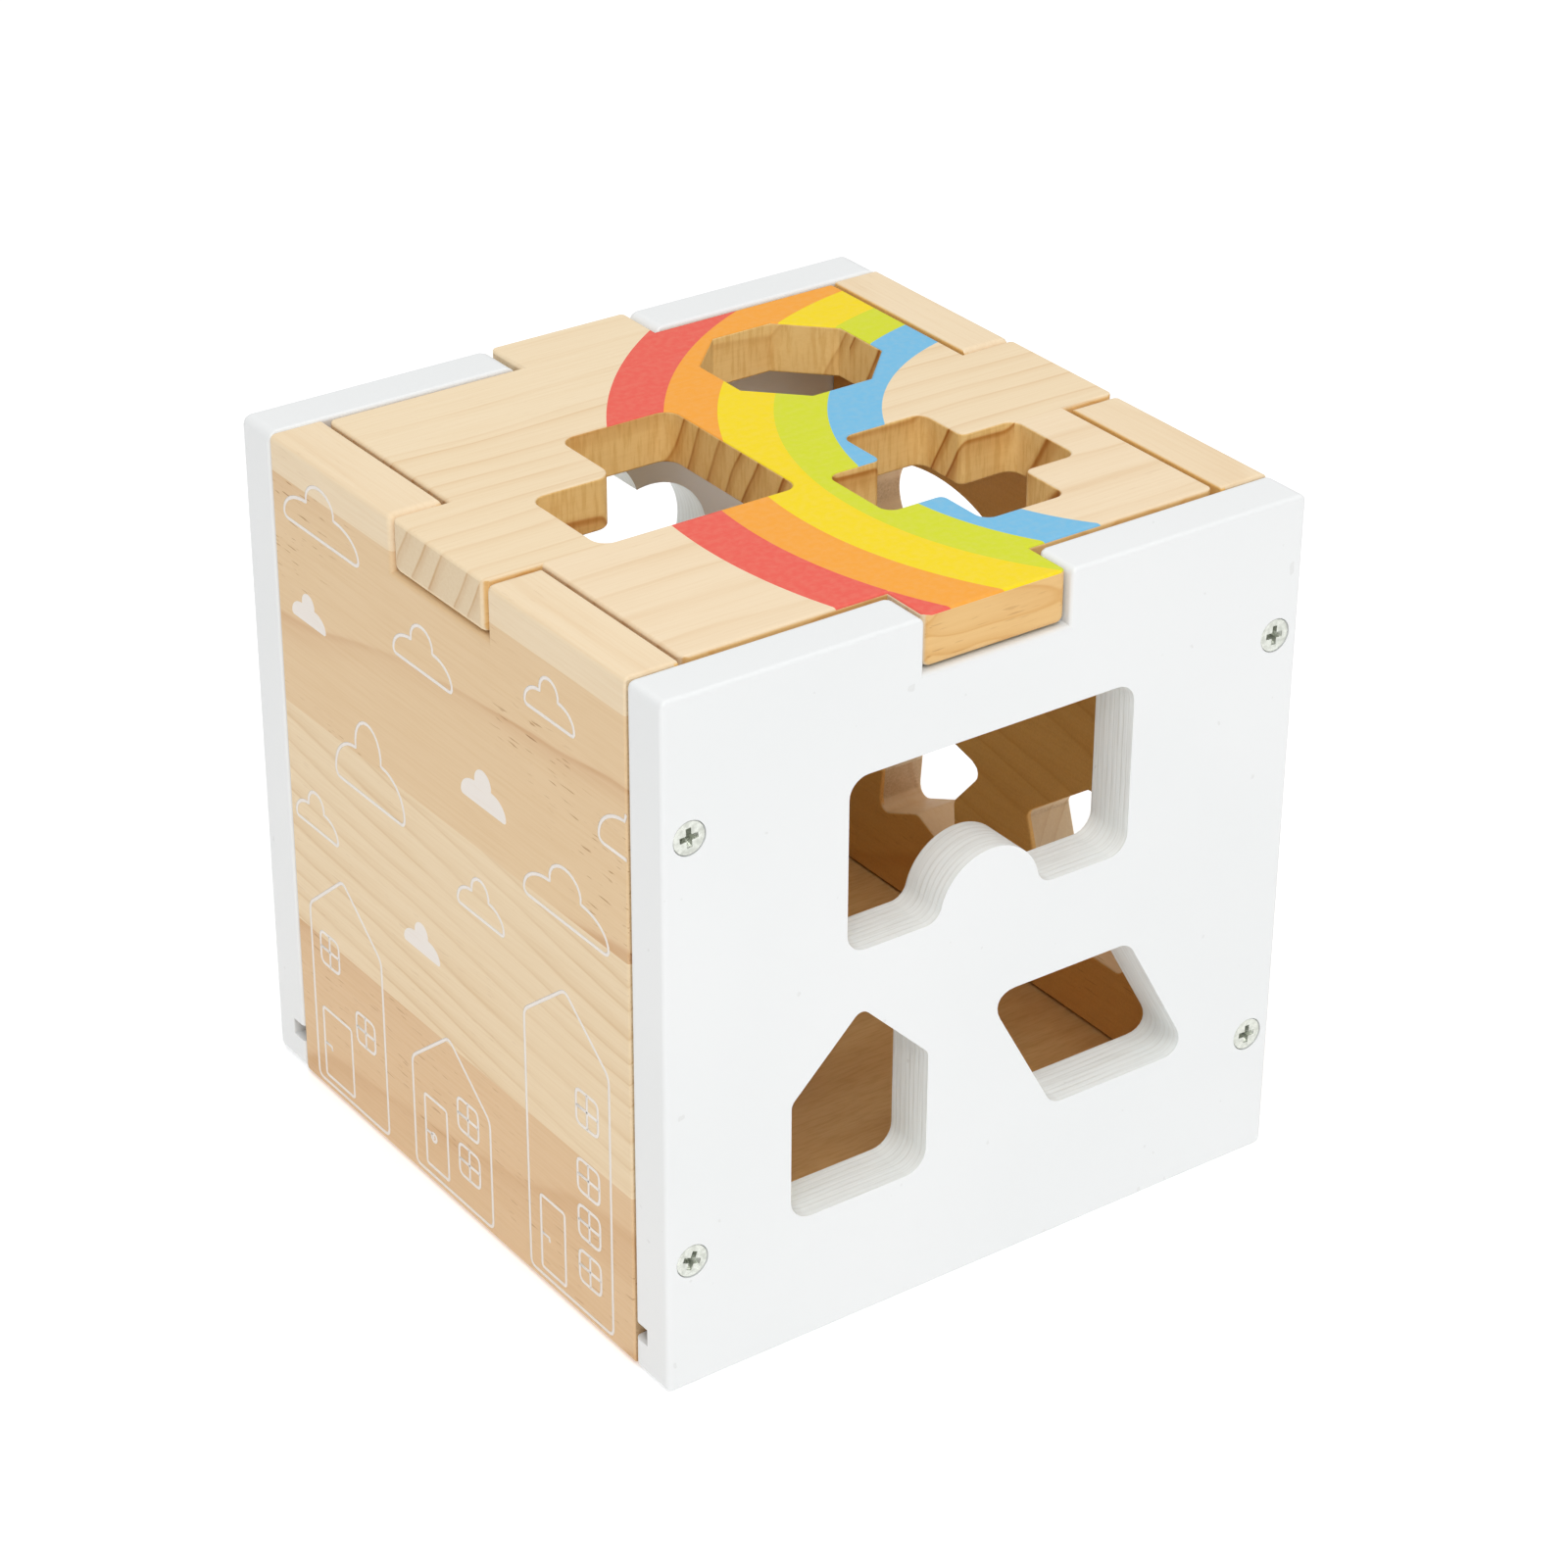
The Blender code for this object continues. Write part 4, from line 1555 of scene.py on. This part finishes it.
@dataclass
class ScrewSet(Assembly):
    """Eight countersunk wood screws with a cross recess.

    Attributes:
        head: The head's radius, in metres.
        land: The height of the head's straight side, in metres.
        shank: The shank's radius, in metres.
        cone: The head's height, in metres.
        length: The whole screw's length, in metres.
        point: The length of its point, in metres.
        blunt: How wide its tip is, as a share of the shank.
        gap: How much wider than a screw its seat is all round, in metres.
        blade: The width of the recess's arms, in metres.
        span: Half the recess's span, in metres.
        recess_deep: How deep the recess is, in metres.
        eased: How far the head's rim and the recess's rim are eased, in metres.
        turns: How each screw's recess happens to be turned, in degrees.
    """

    head: float = 3.25 * MM
    land: float = 0.2 * MM
    shank: float = 1.7 * MM
    cone: float = 2.4 * MM
    length: float = 28.0 * MM
    point: float = 3 * MM
    blunt: float = 0.35
    gap: float = 0.135 * MM
    blade: float = 1.05 * MM
    span: float = 1.85 * MM
    recess_deep: float = 1.7 * MM
    eased: Spot = (0.15 * MM, 0.08 * MM)
    turns: tuple[float, ...] = (18, 33, 62, 8, 22, 86, 4, 3)

    def spots(self) -> list[tuple[str, Matrix]]:
        """Each screw's CAD node, and the turn and place that set a screw made along +Z into it."""
        found = []
        for node in sorted(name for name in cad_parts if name.startswith("screw_")):
            low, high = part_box(node)
            inwards, face = (1, low.y) if low.y < 0 else (-1, high.y)
            middle = (low + high) / 2
            place = Matrix.Translation((middle.x, face, middle.z))
            found.append((node, place @ Matrix.Rotation(-inwards * math.pi / 2, 4, "X")))
        return found

    def turned(self, name: str, grow: float = 0.0, lead: float = 0.0) -> Piece:
        """Makes the countersunk shape along +Z from the face of the head.

        Args:
            name: The object's name.
            grow: How much wider it is than the screw, in metres.
            lead: How far it starts before the face, in metres.

        Returns:
            The shape, around the origin.
        """
        up = facing(2)
        piece = drum_of(name, self.head + grow, self.land + lead, 48, (0, 0, (self.land - lead) / 2))
        extrude(piece, up, (0, 0, self.cone - self.land))
        share = (self.shank + grow) / (self.head + grow)
        scale_faces(piece, up, (share, share, 1), (0, 0, self.cone))
        extrude(piece, up, (0, 0, self.length - self.point - self.cone))
        extrude(piece, up, (0, 0, self.point))
        scale_faces(piece, up, (self.blunt, self.blunt, 1), (0, 0, self.length))
        return piece

    def seats(self, front: bool) -> list[Piece]:
        """Makes the countersunk seats in one white panel.

        Args:
            front: Whether it is the front panel.

        Returns:
            The cutters, in place.
        """
        made = []
        for node, place in self.spots():
            if (place.translation.y < 0) == front:
                seat = self.turned("seat_" + node, self.gap, MM)
                seat.matrix_world = place
                made.append(settle(seat))
        return made

    def recess(self) -> Piece:
        """Makes the cross-shaped driver recess, tapering inwards."""
        half = self.blade / 2
        piece = block_of("recess", (-half, -half, -MM), (half, half, self.land))
        grow_arms(piece, half, self.span - half)
        extrude(piece, facing(2), (0, 0, self.recess_deep - self.land))
        scale_faces(piece, facing(2), (0.5, 0.5, 1), (0, 0, self.recess_deep))
        return piece

    def build(self, material: Material) -> None:
        """Models one screw and copies it to all eight places, in its plating."""
        model = self.turned("screw_model")
        on_face = on_plane(2, 0.0)
        bevel(model, lambda a, b, turn: on_face(a, b, turn) and turn > SHARP, self.eased[0])
        tidy_mesh(combine(model, self.recess()))
        near = 0.75 * self.head

        def cross(start: Vector, end: Vector, turn: float) -> bool:
            """Picks the recess's sharp rim."""
            return on_face(start, end, turn) and turn > SHARP and max(start.xy.length, end.xy.length) < near

        bevel(model, cross, self.eased[1], 2)
        for (node, place), turn in zip(self.spots(), self.turns, strict=True):
            screw = model.copy()
            screw.data = model.data.copy()
            screw.name = screw.data.name = "wood_" + node
            bpy.context.scene.collection.objects.link(screw)
            screw.matrix_world = place @ Matrix.Rotation(math.radians(turn), 4, "Z")
            self.dress(settle(screw), material, "box", "zinc_screw", node, angle=30)
        bpy.data.objects.remove(model, do_unlink=True)


# --- The print on the left panel ---------------------------------------------------------------


def arc(center: Spot, radii: Spot, start: float, end: float, steps: int = 10) -> Line:
    """Points along part of an oval.

    Args:
        center: Its middle.
        radii: Its two radii.
        start: The first angle, in degrees.
        end: The last angle, in degrees.
        steps: How many pieces it has.

    Returns:
        The points.
    """
    turns = [math.radians(start + (end - start) * i / steps) for i in range(steps + 1)]
    return [(center[0] + radii[0] * math.cos(a), center[1] + radii[1] * math.sin(a)) for a in turns]


def soft_corners(corners: Line, radius: float, steps: int = 4) -> Line:
    """Rounds the corners of a closed line.

    Args:
        corners: The corners in order.
        radius: How far each rounding reaches from its corner.
        steps: How many pieces each rounding has.

    Returns:
        The points of the rounded line.
    """
    points: Line = []
    for i, corner in enumerate(corners):
        here = Vector(corner)
        before = here + (Vector(corners[i - 1]) - here).normalized() * radius
        after = here + (Vector(corners[(i + 1) % len(corners)]) - here).normalized() * radius
        for t in (step / steps for step in range(steps + 1)):
            points.append(tuple(before * (1 - t) ** 2 + here * 2 * t * (1 - t) + after * t**2))
    return points


@dataclass(frozen=True)
class PrintedCloud:
    """One printed cloud.

    Attributes:
        left: Its left end, in millimetres from the middle of the panel towards the front.
        right: Its right end.
        base: Its flat base, in millimetres from the ground.
        top: Its highest point.
        filled: Whether it is solid ink.
        edge: Where the panel ends and cuts it off, if it does.
    """

    left: float
    right: float
    base: float
    top: float
    filled: bool = False
    edge: float | None = None

    def line(self) -> Line:
        """The cloud's outline, cut off where the panel ends."""
        wide, tall = self.right - self.left, self.top - self.base

        def bow(across: float, up: float, radii: Spot, *turn: float) -> Line:
            """Part of an oval, given in shares of the cloud's width and height."""
            center = (self.left + across * wide, self.base + up * tall)
            return arc(center, (radii[0] * wide, radii[1] * tall), *turn)

        foot, shoulder, crown = (0.055, 0.10), (0.31, 0.47), (0.185, 0.36)
        points = bow(0.055, 0.10, foot, 270, 180, 4) + bow(0.31, 0.10, shoulder, 180, 92, 9)[1:]
        points += bow(0.5, 0.64, crown, 190, -10, 12)
        points += bow(0.69, 0.10, shoulder, 88, 0, 9) + bow(0.945, 0.10, foot, 0, -90, 4)[1:]
        if self.edge is None:
            return points
        return [(self.edge, self.base), *(point for point in points if point[0] < self.edge)]


@dataclass(frozen=True)
class PrintedHouse:
    """One printed house.

    Attributes:
        left: Its left wall, in millimetres from the middle of the panel towards the front.
        right: Its right wall.
        base: Its foot, in millimetres from the ground.
        eaves: Where the roof starts.
        apex: The roof's top.
        windows: Each window's left, bottom, right and top.
        door: The door's left, bottom, right and top.
        ring: Whether the door has a round knob.
    """

    left: float
    right: float
    base: float
    eaves: float
    apex: float
    windows: tuple[tuple[float, float, float, float], ...]
    door: tuple[float, float, float, float]
    ring: bool = False

    def lines(self) -> list[tuple[Line, bool]]:
        """Every line of the house, and whether it closes on itself."""
        def pane(left: float, low: float, right: float, high: float, radius: float) -> tuple[Line, bool]:
            """A rounded rectangle."""
            return soft_corners([(left, low), (right, low), (right, high), (left, high)], radius), True

        ridge = ((self.left + self.right) / 2, self.apex)
        walls = [(self.left, self.base), (self.right, self.base), (self.right, self.eaves)]
        found = [(soft_corners([*walls, ridge, (self.left, self.eaves)], 1.6), True)]
        for left, low, right, high in self.windows:
            across, up = (left + right) / 2, (low + high) / 2
            found.append(pane(left, low, right, high, 1.5))
            found.append(([(left, up), (right, up)], False))
            found.append(([(across, low), (across, high)], False))
        found.append(pane(*self.door, 0.8))
        left, low, _, high = self.door
        level = low + 0.48 * (high - low)
        found.append(([(left + 0.3, level), (left + 2.6, level), (left + 2.8, level - 0.9)], False))
        if self.ring:
            found.append((arc((left + 2.9, level - 0.5), (0.9, 0.9), 0, 324, 9), True))
        return found


@dataclass
class HousesPrint(Assembly):
    """The row of houses under clouds on the left panel.

    Attributes:
        clouds: The clouds.
        houses: The houses.
        pen: Half the printed line's width, in metres.
        ink: How thick the ink is, in metres.
    """

    clouds: tuple[PrintedCloud, ...]
    houses: tuple[PrintedHouse, ...]
    pen: float = 0.37 * MM
    ink: float = 0.06 * MM

    def curve(self, name: str, lines: Sequence[tuple[Line, bool]], filled: bool) -> Piece:
        """Draws lines as one flat curve object and makes it a mesh on the panel.

        Args:
            name: The object's name.
            lines: The lines in millimetres, and whether each closes on itself.
            filled: Whether the lines are outlines of solid ink.

        Returns:
            The mesh object, in place.
        """
        data = bpy.data.curves.new(name, "CURVE")
        data.dimensions = "2D" if filled else "3D"
        if filled:
            data.fill_mode, data.extrude = "BOTH", self.pen
        else:
            data.bevel_depth, data.bevel_resolution, data.use_fill_caps = self.pen, 1, True
        for line, closed in lines:
            spline = data.splines.new("POLY")
            spline.points.add(len(line) - 1)
            for point, (u, v) in zip(spline.points, line, strict=True):
                point.co = (u * MM, v * MM, 0, 1)
            spline.use_cyclic_u = closed
        drawn = bpy.data.objects.new(name, data)
        bpy.context.scene.collection.objects.link(drawn)
        activate(drawn)
        bpy.ops.object.convert(target="MESH")
        piece = bpy.context.object
        squeeze = Matrix.Diagonal((1, 1, self.ink / (2 * self.pen), 1))
        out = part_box("left_panel")[0].x + self.ink / 2
        piece.matrix_world = Matrix.Translation((out, 0, 0)) @ Plane.LEFT_PRINT.matrix() @ squeeze
        return tidy_mesh(settle(piece), 0.002 * MM, flatten=False)

    def build(self, material: Material) -> None:
        """Draws the clouds and the houses in ink."""
        drawn = {
            "printed_cloud_lines": [(c.line(), c.edge is None) for c in self.clouds if not c.filled],
            "printed_solid_clouds": [(c.line(), True) for c in self.clouds if c.filled],
            "printed_houses": [entry for house in self.houses for entry in house.lines()],
        }
        pieces = [self.curve(name, lines, name == "printed_solid_clouds") for name, lines in drawn.items()]
        for piece in pieces:
            self.dress(piece, material, "box", "pine", angle=0)


# --- Studio ------------------------------------------------------------------------------------


@dataclass
class Studio:
    """The plain floor, the soft lights and the camera.

    Attributes:
        azimuth: The camera's turn round the object, in degrees.
        elevation: How far it looks down, in degrees.
        roll: How far it is rolled, in degrees.
        distance: From the target to the camera, in metres.
        aside: How far it is moved sideways and up, in metres.
        target: The point it turns about, in metres.
        lens: Its lens, in millimetres.
        lamps: Each lamp's name, place and side in metres, and power in watts.
        around: The strength of the white surround.
        glow: How strongly the floor glows, which keeps it white.
    """

    azimuth: float = -35.644
    elevation: float = 29.196
    roll: float = 0.3252
    distance: float = 0.7933
    aside: Spot = (4.0138 * MM, 0.585 * MM)
    target: tuple[float, float, float] = (0.0, 0.0, 0.07)
    lens: float = 95.29
    lamps: tuple[tuple[str, tuple[float, float, float], float, float], ...] = (
        ("key_lamp", (-0.5, -1.15, 1.8), 1.2, 19.5),
        ("left_lamp", (-1.3, -1.3, 1.0), 1.2, 2.7),
        ("side_lamp", (1.9, -1.1, 1.1), 1.5, 2.0),
        ("top_lamp", (0.1, 0.3, 2.1), 1.8, 17.0),
    )
    around: float = 0.38
    glow: float = 0.36

    def camera(self) -> None:
        """Sets the camera."""
        turn, rise = math.radians(self.azimuth), math.radians(self.elevation)
        back = Vector((math.sin(turn) * math.cos(rise), -math.cos(turn) * math.cos(rise), math.sin(rise)))
        right = Vector((math.cos(turn), math.sin(turn), 0))
        up = back.cross(right)
        c, s = math.cos(math.radians(self.roll)), math.sin(math.radians(self.roll))
        right, up = right * c + up * s, up * c - right * s
        place = Vector(self.target) + back * self.distance + right * self.aside[0] + up * self.aside[1]
        data = bpy.data.cameras.new("studio_camera")
        data.lens, data.sensor_width = self.lens, 36.0
        data.clip_start, data.clip_end = 0.01, 50.0
        camera = bpy.data.objects.new("studio_camera", data)
        camera.matrix_world = Matrix.Translation(place) @ Matrix((right, up, back)).transposed().to_4x4()
        bpy.context.scene.collection.objects.link(camera)
        bpy.context.scene.camera = camera

    def lights(self) -> None:
        """Hangs the soft square lamps, which all face the object."""
        for name, place, size, power in self.lamps:
            data = bpy.data.lights.new(name, "AREA")
            data.shape, data.size, data.energy = "SQUARE", size, power
            lamp = bpy.data.objects.new(name, data)
            lamp.location = place
            lamp.rotation_euler = (Vector(self.target) - Vector(place)).to_track_quat("-Z", "Y").to_euler()
            bpy.context.scene.collection.objects.link(lamp)

    def floor(self) -> None:
        """Adds the plain pale floor."""
        bpy.ops.object.select_all(action="DESELECT")
        bpy.ops.mesh.primitive_plane_add(size=8.0, location=(0, 0, -0.2 * MM))
        floor = added("studio_floor")
        pale = Nodes("pale_floor").done(
            (0.82, 0.82, 0.82), 0.9, Emission_Color=(1, 1, 1, 1), Emission_Strength=self.glow
        )
        floor.data.materials.append(pale)
        floor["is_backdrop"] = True

    def build(self) -> None:
        """Sets up the whole studio."""
        self.camera()
        self.floor()
        self.lights()
        world = bpy.data.worlds.new("studio_world")
        world.use_nodes = True
        background = world.node_tree.nodes["Background"]
        background.inputs[0].default_value = (1.0, 1.0, 1.0, 1.0)
        background.inputs[1].default_value = self.around
        bpy.context.scene.world = world
        bpy.context.scene.view_settings.view_transform = "Standard"


# --- The whole object --------------------------------------------------------------------------

L_CUT = LCutout("l", (-24.3 * MM, 5.6 * MM), 3.0 * MM)
OCTAGON_CUT = RegularCutout("octagon", (29.5 * MM, 32.7 * MM), 0.0)
PLUS_CUT = PlusCutout("plus", (25.3 * MM, -23.6 * MM), 2.5 * MM)
BRIDGE_CUT = BridgeCutout("bridge", (0.0, 96.0 * MM), 4.0 * MM)
HOUSE_CUT = HouseCutout("house", (-28.1 * MM, 26.5 * MM), 4.5 * MM)
SLANT_CUT = SlantCutout("slant", (24.8 * MM, 43.9 * MM), 3.8 * MM)
STAR_CUT = StarCutout("star", (28.0 * MM, 44.4 * MM), 2.6 * MM)
PENTAGON_CUT = RegularCutout("pentagon", (-26.7 * MM, 42.6 * MM), 2.0 * MM, 5, 20.2 * MM, 0.0)
OVAL_CUT = OvalCutout("oval", (25.0 * MM, 95.5 * MM), 0.0)
CLOUD_CUT = CloudCutout("cloud", (-1.5 * MM, 80.0 * MM), 1.6 * MM)

SIDE_STRIPS = (
    Strip(0.0, -0.06, -0.20, 0.123, 15 * MM, 0.75, 0.6, srgb(226, 192, 150), srgb(205, 159, 110)),
    Strip(35.8 * MM, 0.22, -0.20, 0.107, 4.3 * MM, 0.65, 0.2, srgb(237, 214, 178), srgb(216, 181, 133)),
    Strip(84.7 * MM, 0.028, -0.16, 0.135, 24 * MM, 0.9, 1.0, srgb(230, 200, 158), srgb(208, 163, 117)),
    Strip(132.6 * MM, 0.24, 0.05, 0.02, 9 * MM, 0.25, 0.15, srgb(238, 217, 184), srgb(219, 184, 138)),
)
LID_STRIPS = (
    Strip(-70 * MM, -0.24, 0.01, 0.02, 9 * MM, 0.35, 0.5, srgb(238, 217, 185), srgb(217, 180, 132)),
    Strip(-15.5 * MM, -0.24, 0.01, 0.02, 5.6 * MM, 0.5, 0.3, srgb(237, 216, 182), srgb(216, 178, 130)),
    Strip(36 * MM, -0.24, 0.01, 0.02, 9 * MM, 0.25, 0.3, srgb(238, 218, 185), srgb(218, 182, 135)),
)
SIDE_WOOD = Pine("side_pine", 1, 2, 0, 0.0, 140 * MM, SIDE_STRIPS, 0.5, 0.9)
LID_WOOD = Pine(
    "lid_pine", 0, 1, 2, -70 * MM, 140 * MM, LID_STRIPS, 0.4, 0.25, 56.5 * MM, (1.15, 0.98, 0.58), walls=1.3
)
RAINBOW_RADII = tuple(radius * MM for radius in (50.5, 60.6, 70.6, 80.9, 91.2, 102.0))
RAINBOW_BANDS = (
    srgb(112, 186, 225), srgb(209, 217, 34), srgb(242, 214, 0), srgb(243, 163, 54), srgb(232, 92, 80),
)
BLOCKS = {
    "red_block": (srgb(228, 92, 82), ((BRIDGE_CUT, Plane.TOP), (STAR_CUT, Plane.TOP))),
    "orange_block": (srgb(245, 160, 66), ((SLANT_CUT, Plane.TOP), (PLUS_CUT, Plane.TOP))),
    "yellow_block": (srgb(246, 214, 50), ((PENTAGON_CUT, Plane.TOP), (OCTAGON_CUT, Plane.SIDE))),
    "lime_block": (srgb(205, 215, 66), ((L_CUT, Plane.TOP), (HOUSE_CUT, Plane.FACE))),
    "blue_block": (srgb(116, 184, 224), ((OVAL_CUT, Plane.TOP), (CLOUD_CUT, Plane.TOP))),
}
CLOUDS = (
    PrintedCloud(-55.0, -28.0, 125.0, 135.5),
    PrintedCloud(-16.6, 3.5, 112.9, 122.0),
    PrintedCloud(27.9, 43.5, 121.9, 129.8),
    PrintedCloud(50.6, 77.6, 105.4, 118.4, edge=59.15),
    PrintedCloud(25.9, 53.0, 83.2, 94.3),
    PrintedCloud(-40.4, -15.4, 76.8, 92.9),
    PrintedCloud(2.8, 18.5, 70.0, 78.1),
    PrintedCloud(-57.1, -41.3, 60.4, 68.5),
    PrintedCloud(-54.1, -41.6, 105.2, 111.5, True),
    PrintedCloud(5.4, 20.5, 94.0, 101.7, True),
    PrintedCloud(-17.5, -4.6, 51.9, 58.4, True),
)
HOUSES = (
    PrintedHouse(
        -54.0, -26.9, 2.1, 41.9, 53.1,
        ((-50.5, 30.4, -43.5, 37.5), (-37.8, 18.5, -30.8, 25.4)),
        (-51.0, 3.8, -40.1, 19.6),
    ),
    PrintedHouse(
        -16.6, 11.3, 2.1, 26.3, 37.5,
        ((-0.3, 18.8, 7.0, 25.9), (-0.3, 8.5, 7.0, 15.5)),
        (-12.5, 4.1, -4.5, 20.0), True,
    ),
    PrintedHouse(
        24.6, 52.3, 2.1, 58.1, 69.1,
        (
            (41.4, 43.1, 48.5, 50.4),
            (41.4, 28.5, 48.5, 35.5),
            (41.4, 18.5, 48.5, 25.4),
            (41.4, 8.5, 48.5, 15.4),
        ),
        (28.5, 3.8, 36.6, 20.0),
    ),
)


@dataclass
class ShapeSorter:
    """The whole toy.

    Attributes:
        lid_wood: The lid's pine.
        side_wood: The side panels' pine.
        arcs: Where the rainbow's arcs have their centre, in metres.
    """

    lid_wood: Pine = LID_WOOD
    side_wood: Pine = SIDE_WOOD
    arcs: Spot = (70.5 * MM, -26.0 * MM)

    def box(self) -> None:
        """Builds the panels, the bottom board, the screws and the print."""
        screws = ScrewSet()
        white, pine = WhitePly("white_painted_ply").make(), self.side_wood.make()
        front = WhitePanel("front_panel", "white_front_panel", (BRIDGE_CUT, HOUSE_CUT, SLANT_CUT))
        front.build(white, screws.seats(True))
        back = WhitePanel("back_panel", "white_back_panel", (CLOUD_CUT,), corner=2.3 * MM)
        back.build(white, screws.seats(False))
        PinePanel("left_panel", "pine_left_panel").build(pine)
        PinePanel("right_panel", "pine_right_panel", (STAR_CUT, PENTAGON_CUT, OVAL_CUT)).build(pine)
        BottomBoard().build(ThinPly("bare_thin_ply", srgb(230, 189, 130), srgb(215, 169, 109)).make())
        screws.build(Zinc("bright_zinc", srgb(219, 222, 214)).make())
        ink = PrintInk("white_print_ink", srgb(238, 230, 222), srgb(234, 223, 211))
        HousesPrint(CLOUDS, HOUSES).build(ink.make())

    def lid(self) -> None:
        """Builds the lid with its rainbow."""
        printed = RainbowPine(self.lid_wood, self.arcs, RAINBOW_RADII, RAINBOW_BANDS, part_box("lid")[1].z)
        Lid((L_CUT, OCTAGON_CUT, PLUS_CUT)).build(printed.make())

    def blocks(self) -> None:
        """Builds the ten blocks."""
        for slot, (color, shapes) in BLOCKS.items():
            paint = BlockPaint(slot + "_paint", color)
            for shape, plane in shapes:
                Block(shape, plane, slot, paint).build()


def write_sizes() -> None:
    """Works out the CAD box and the finished model's box as plain lists."""
    boxes = {"cad": CAD_BOX, "visual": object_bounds()}
    rows = {name: [[float(v) for v in corner] for corner in box] for name, box in boxes.items()}


def main() -> None:
    """Builds the studio and the shape sorter in order."""
    logging.basicConfig(level=logging.INFO, format="%(name)s: %(message)s")
    Studio().build()
    toy = ShapeSorter()
    toy.box()
    toy.lid()
    toy.blocks()
    write_sizes()


if __name__ == "__main__":
    main()
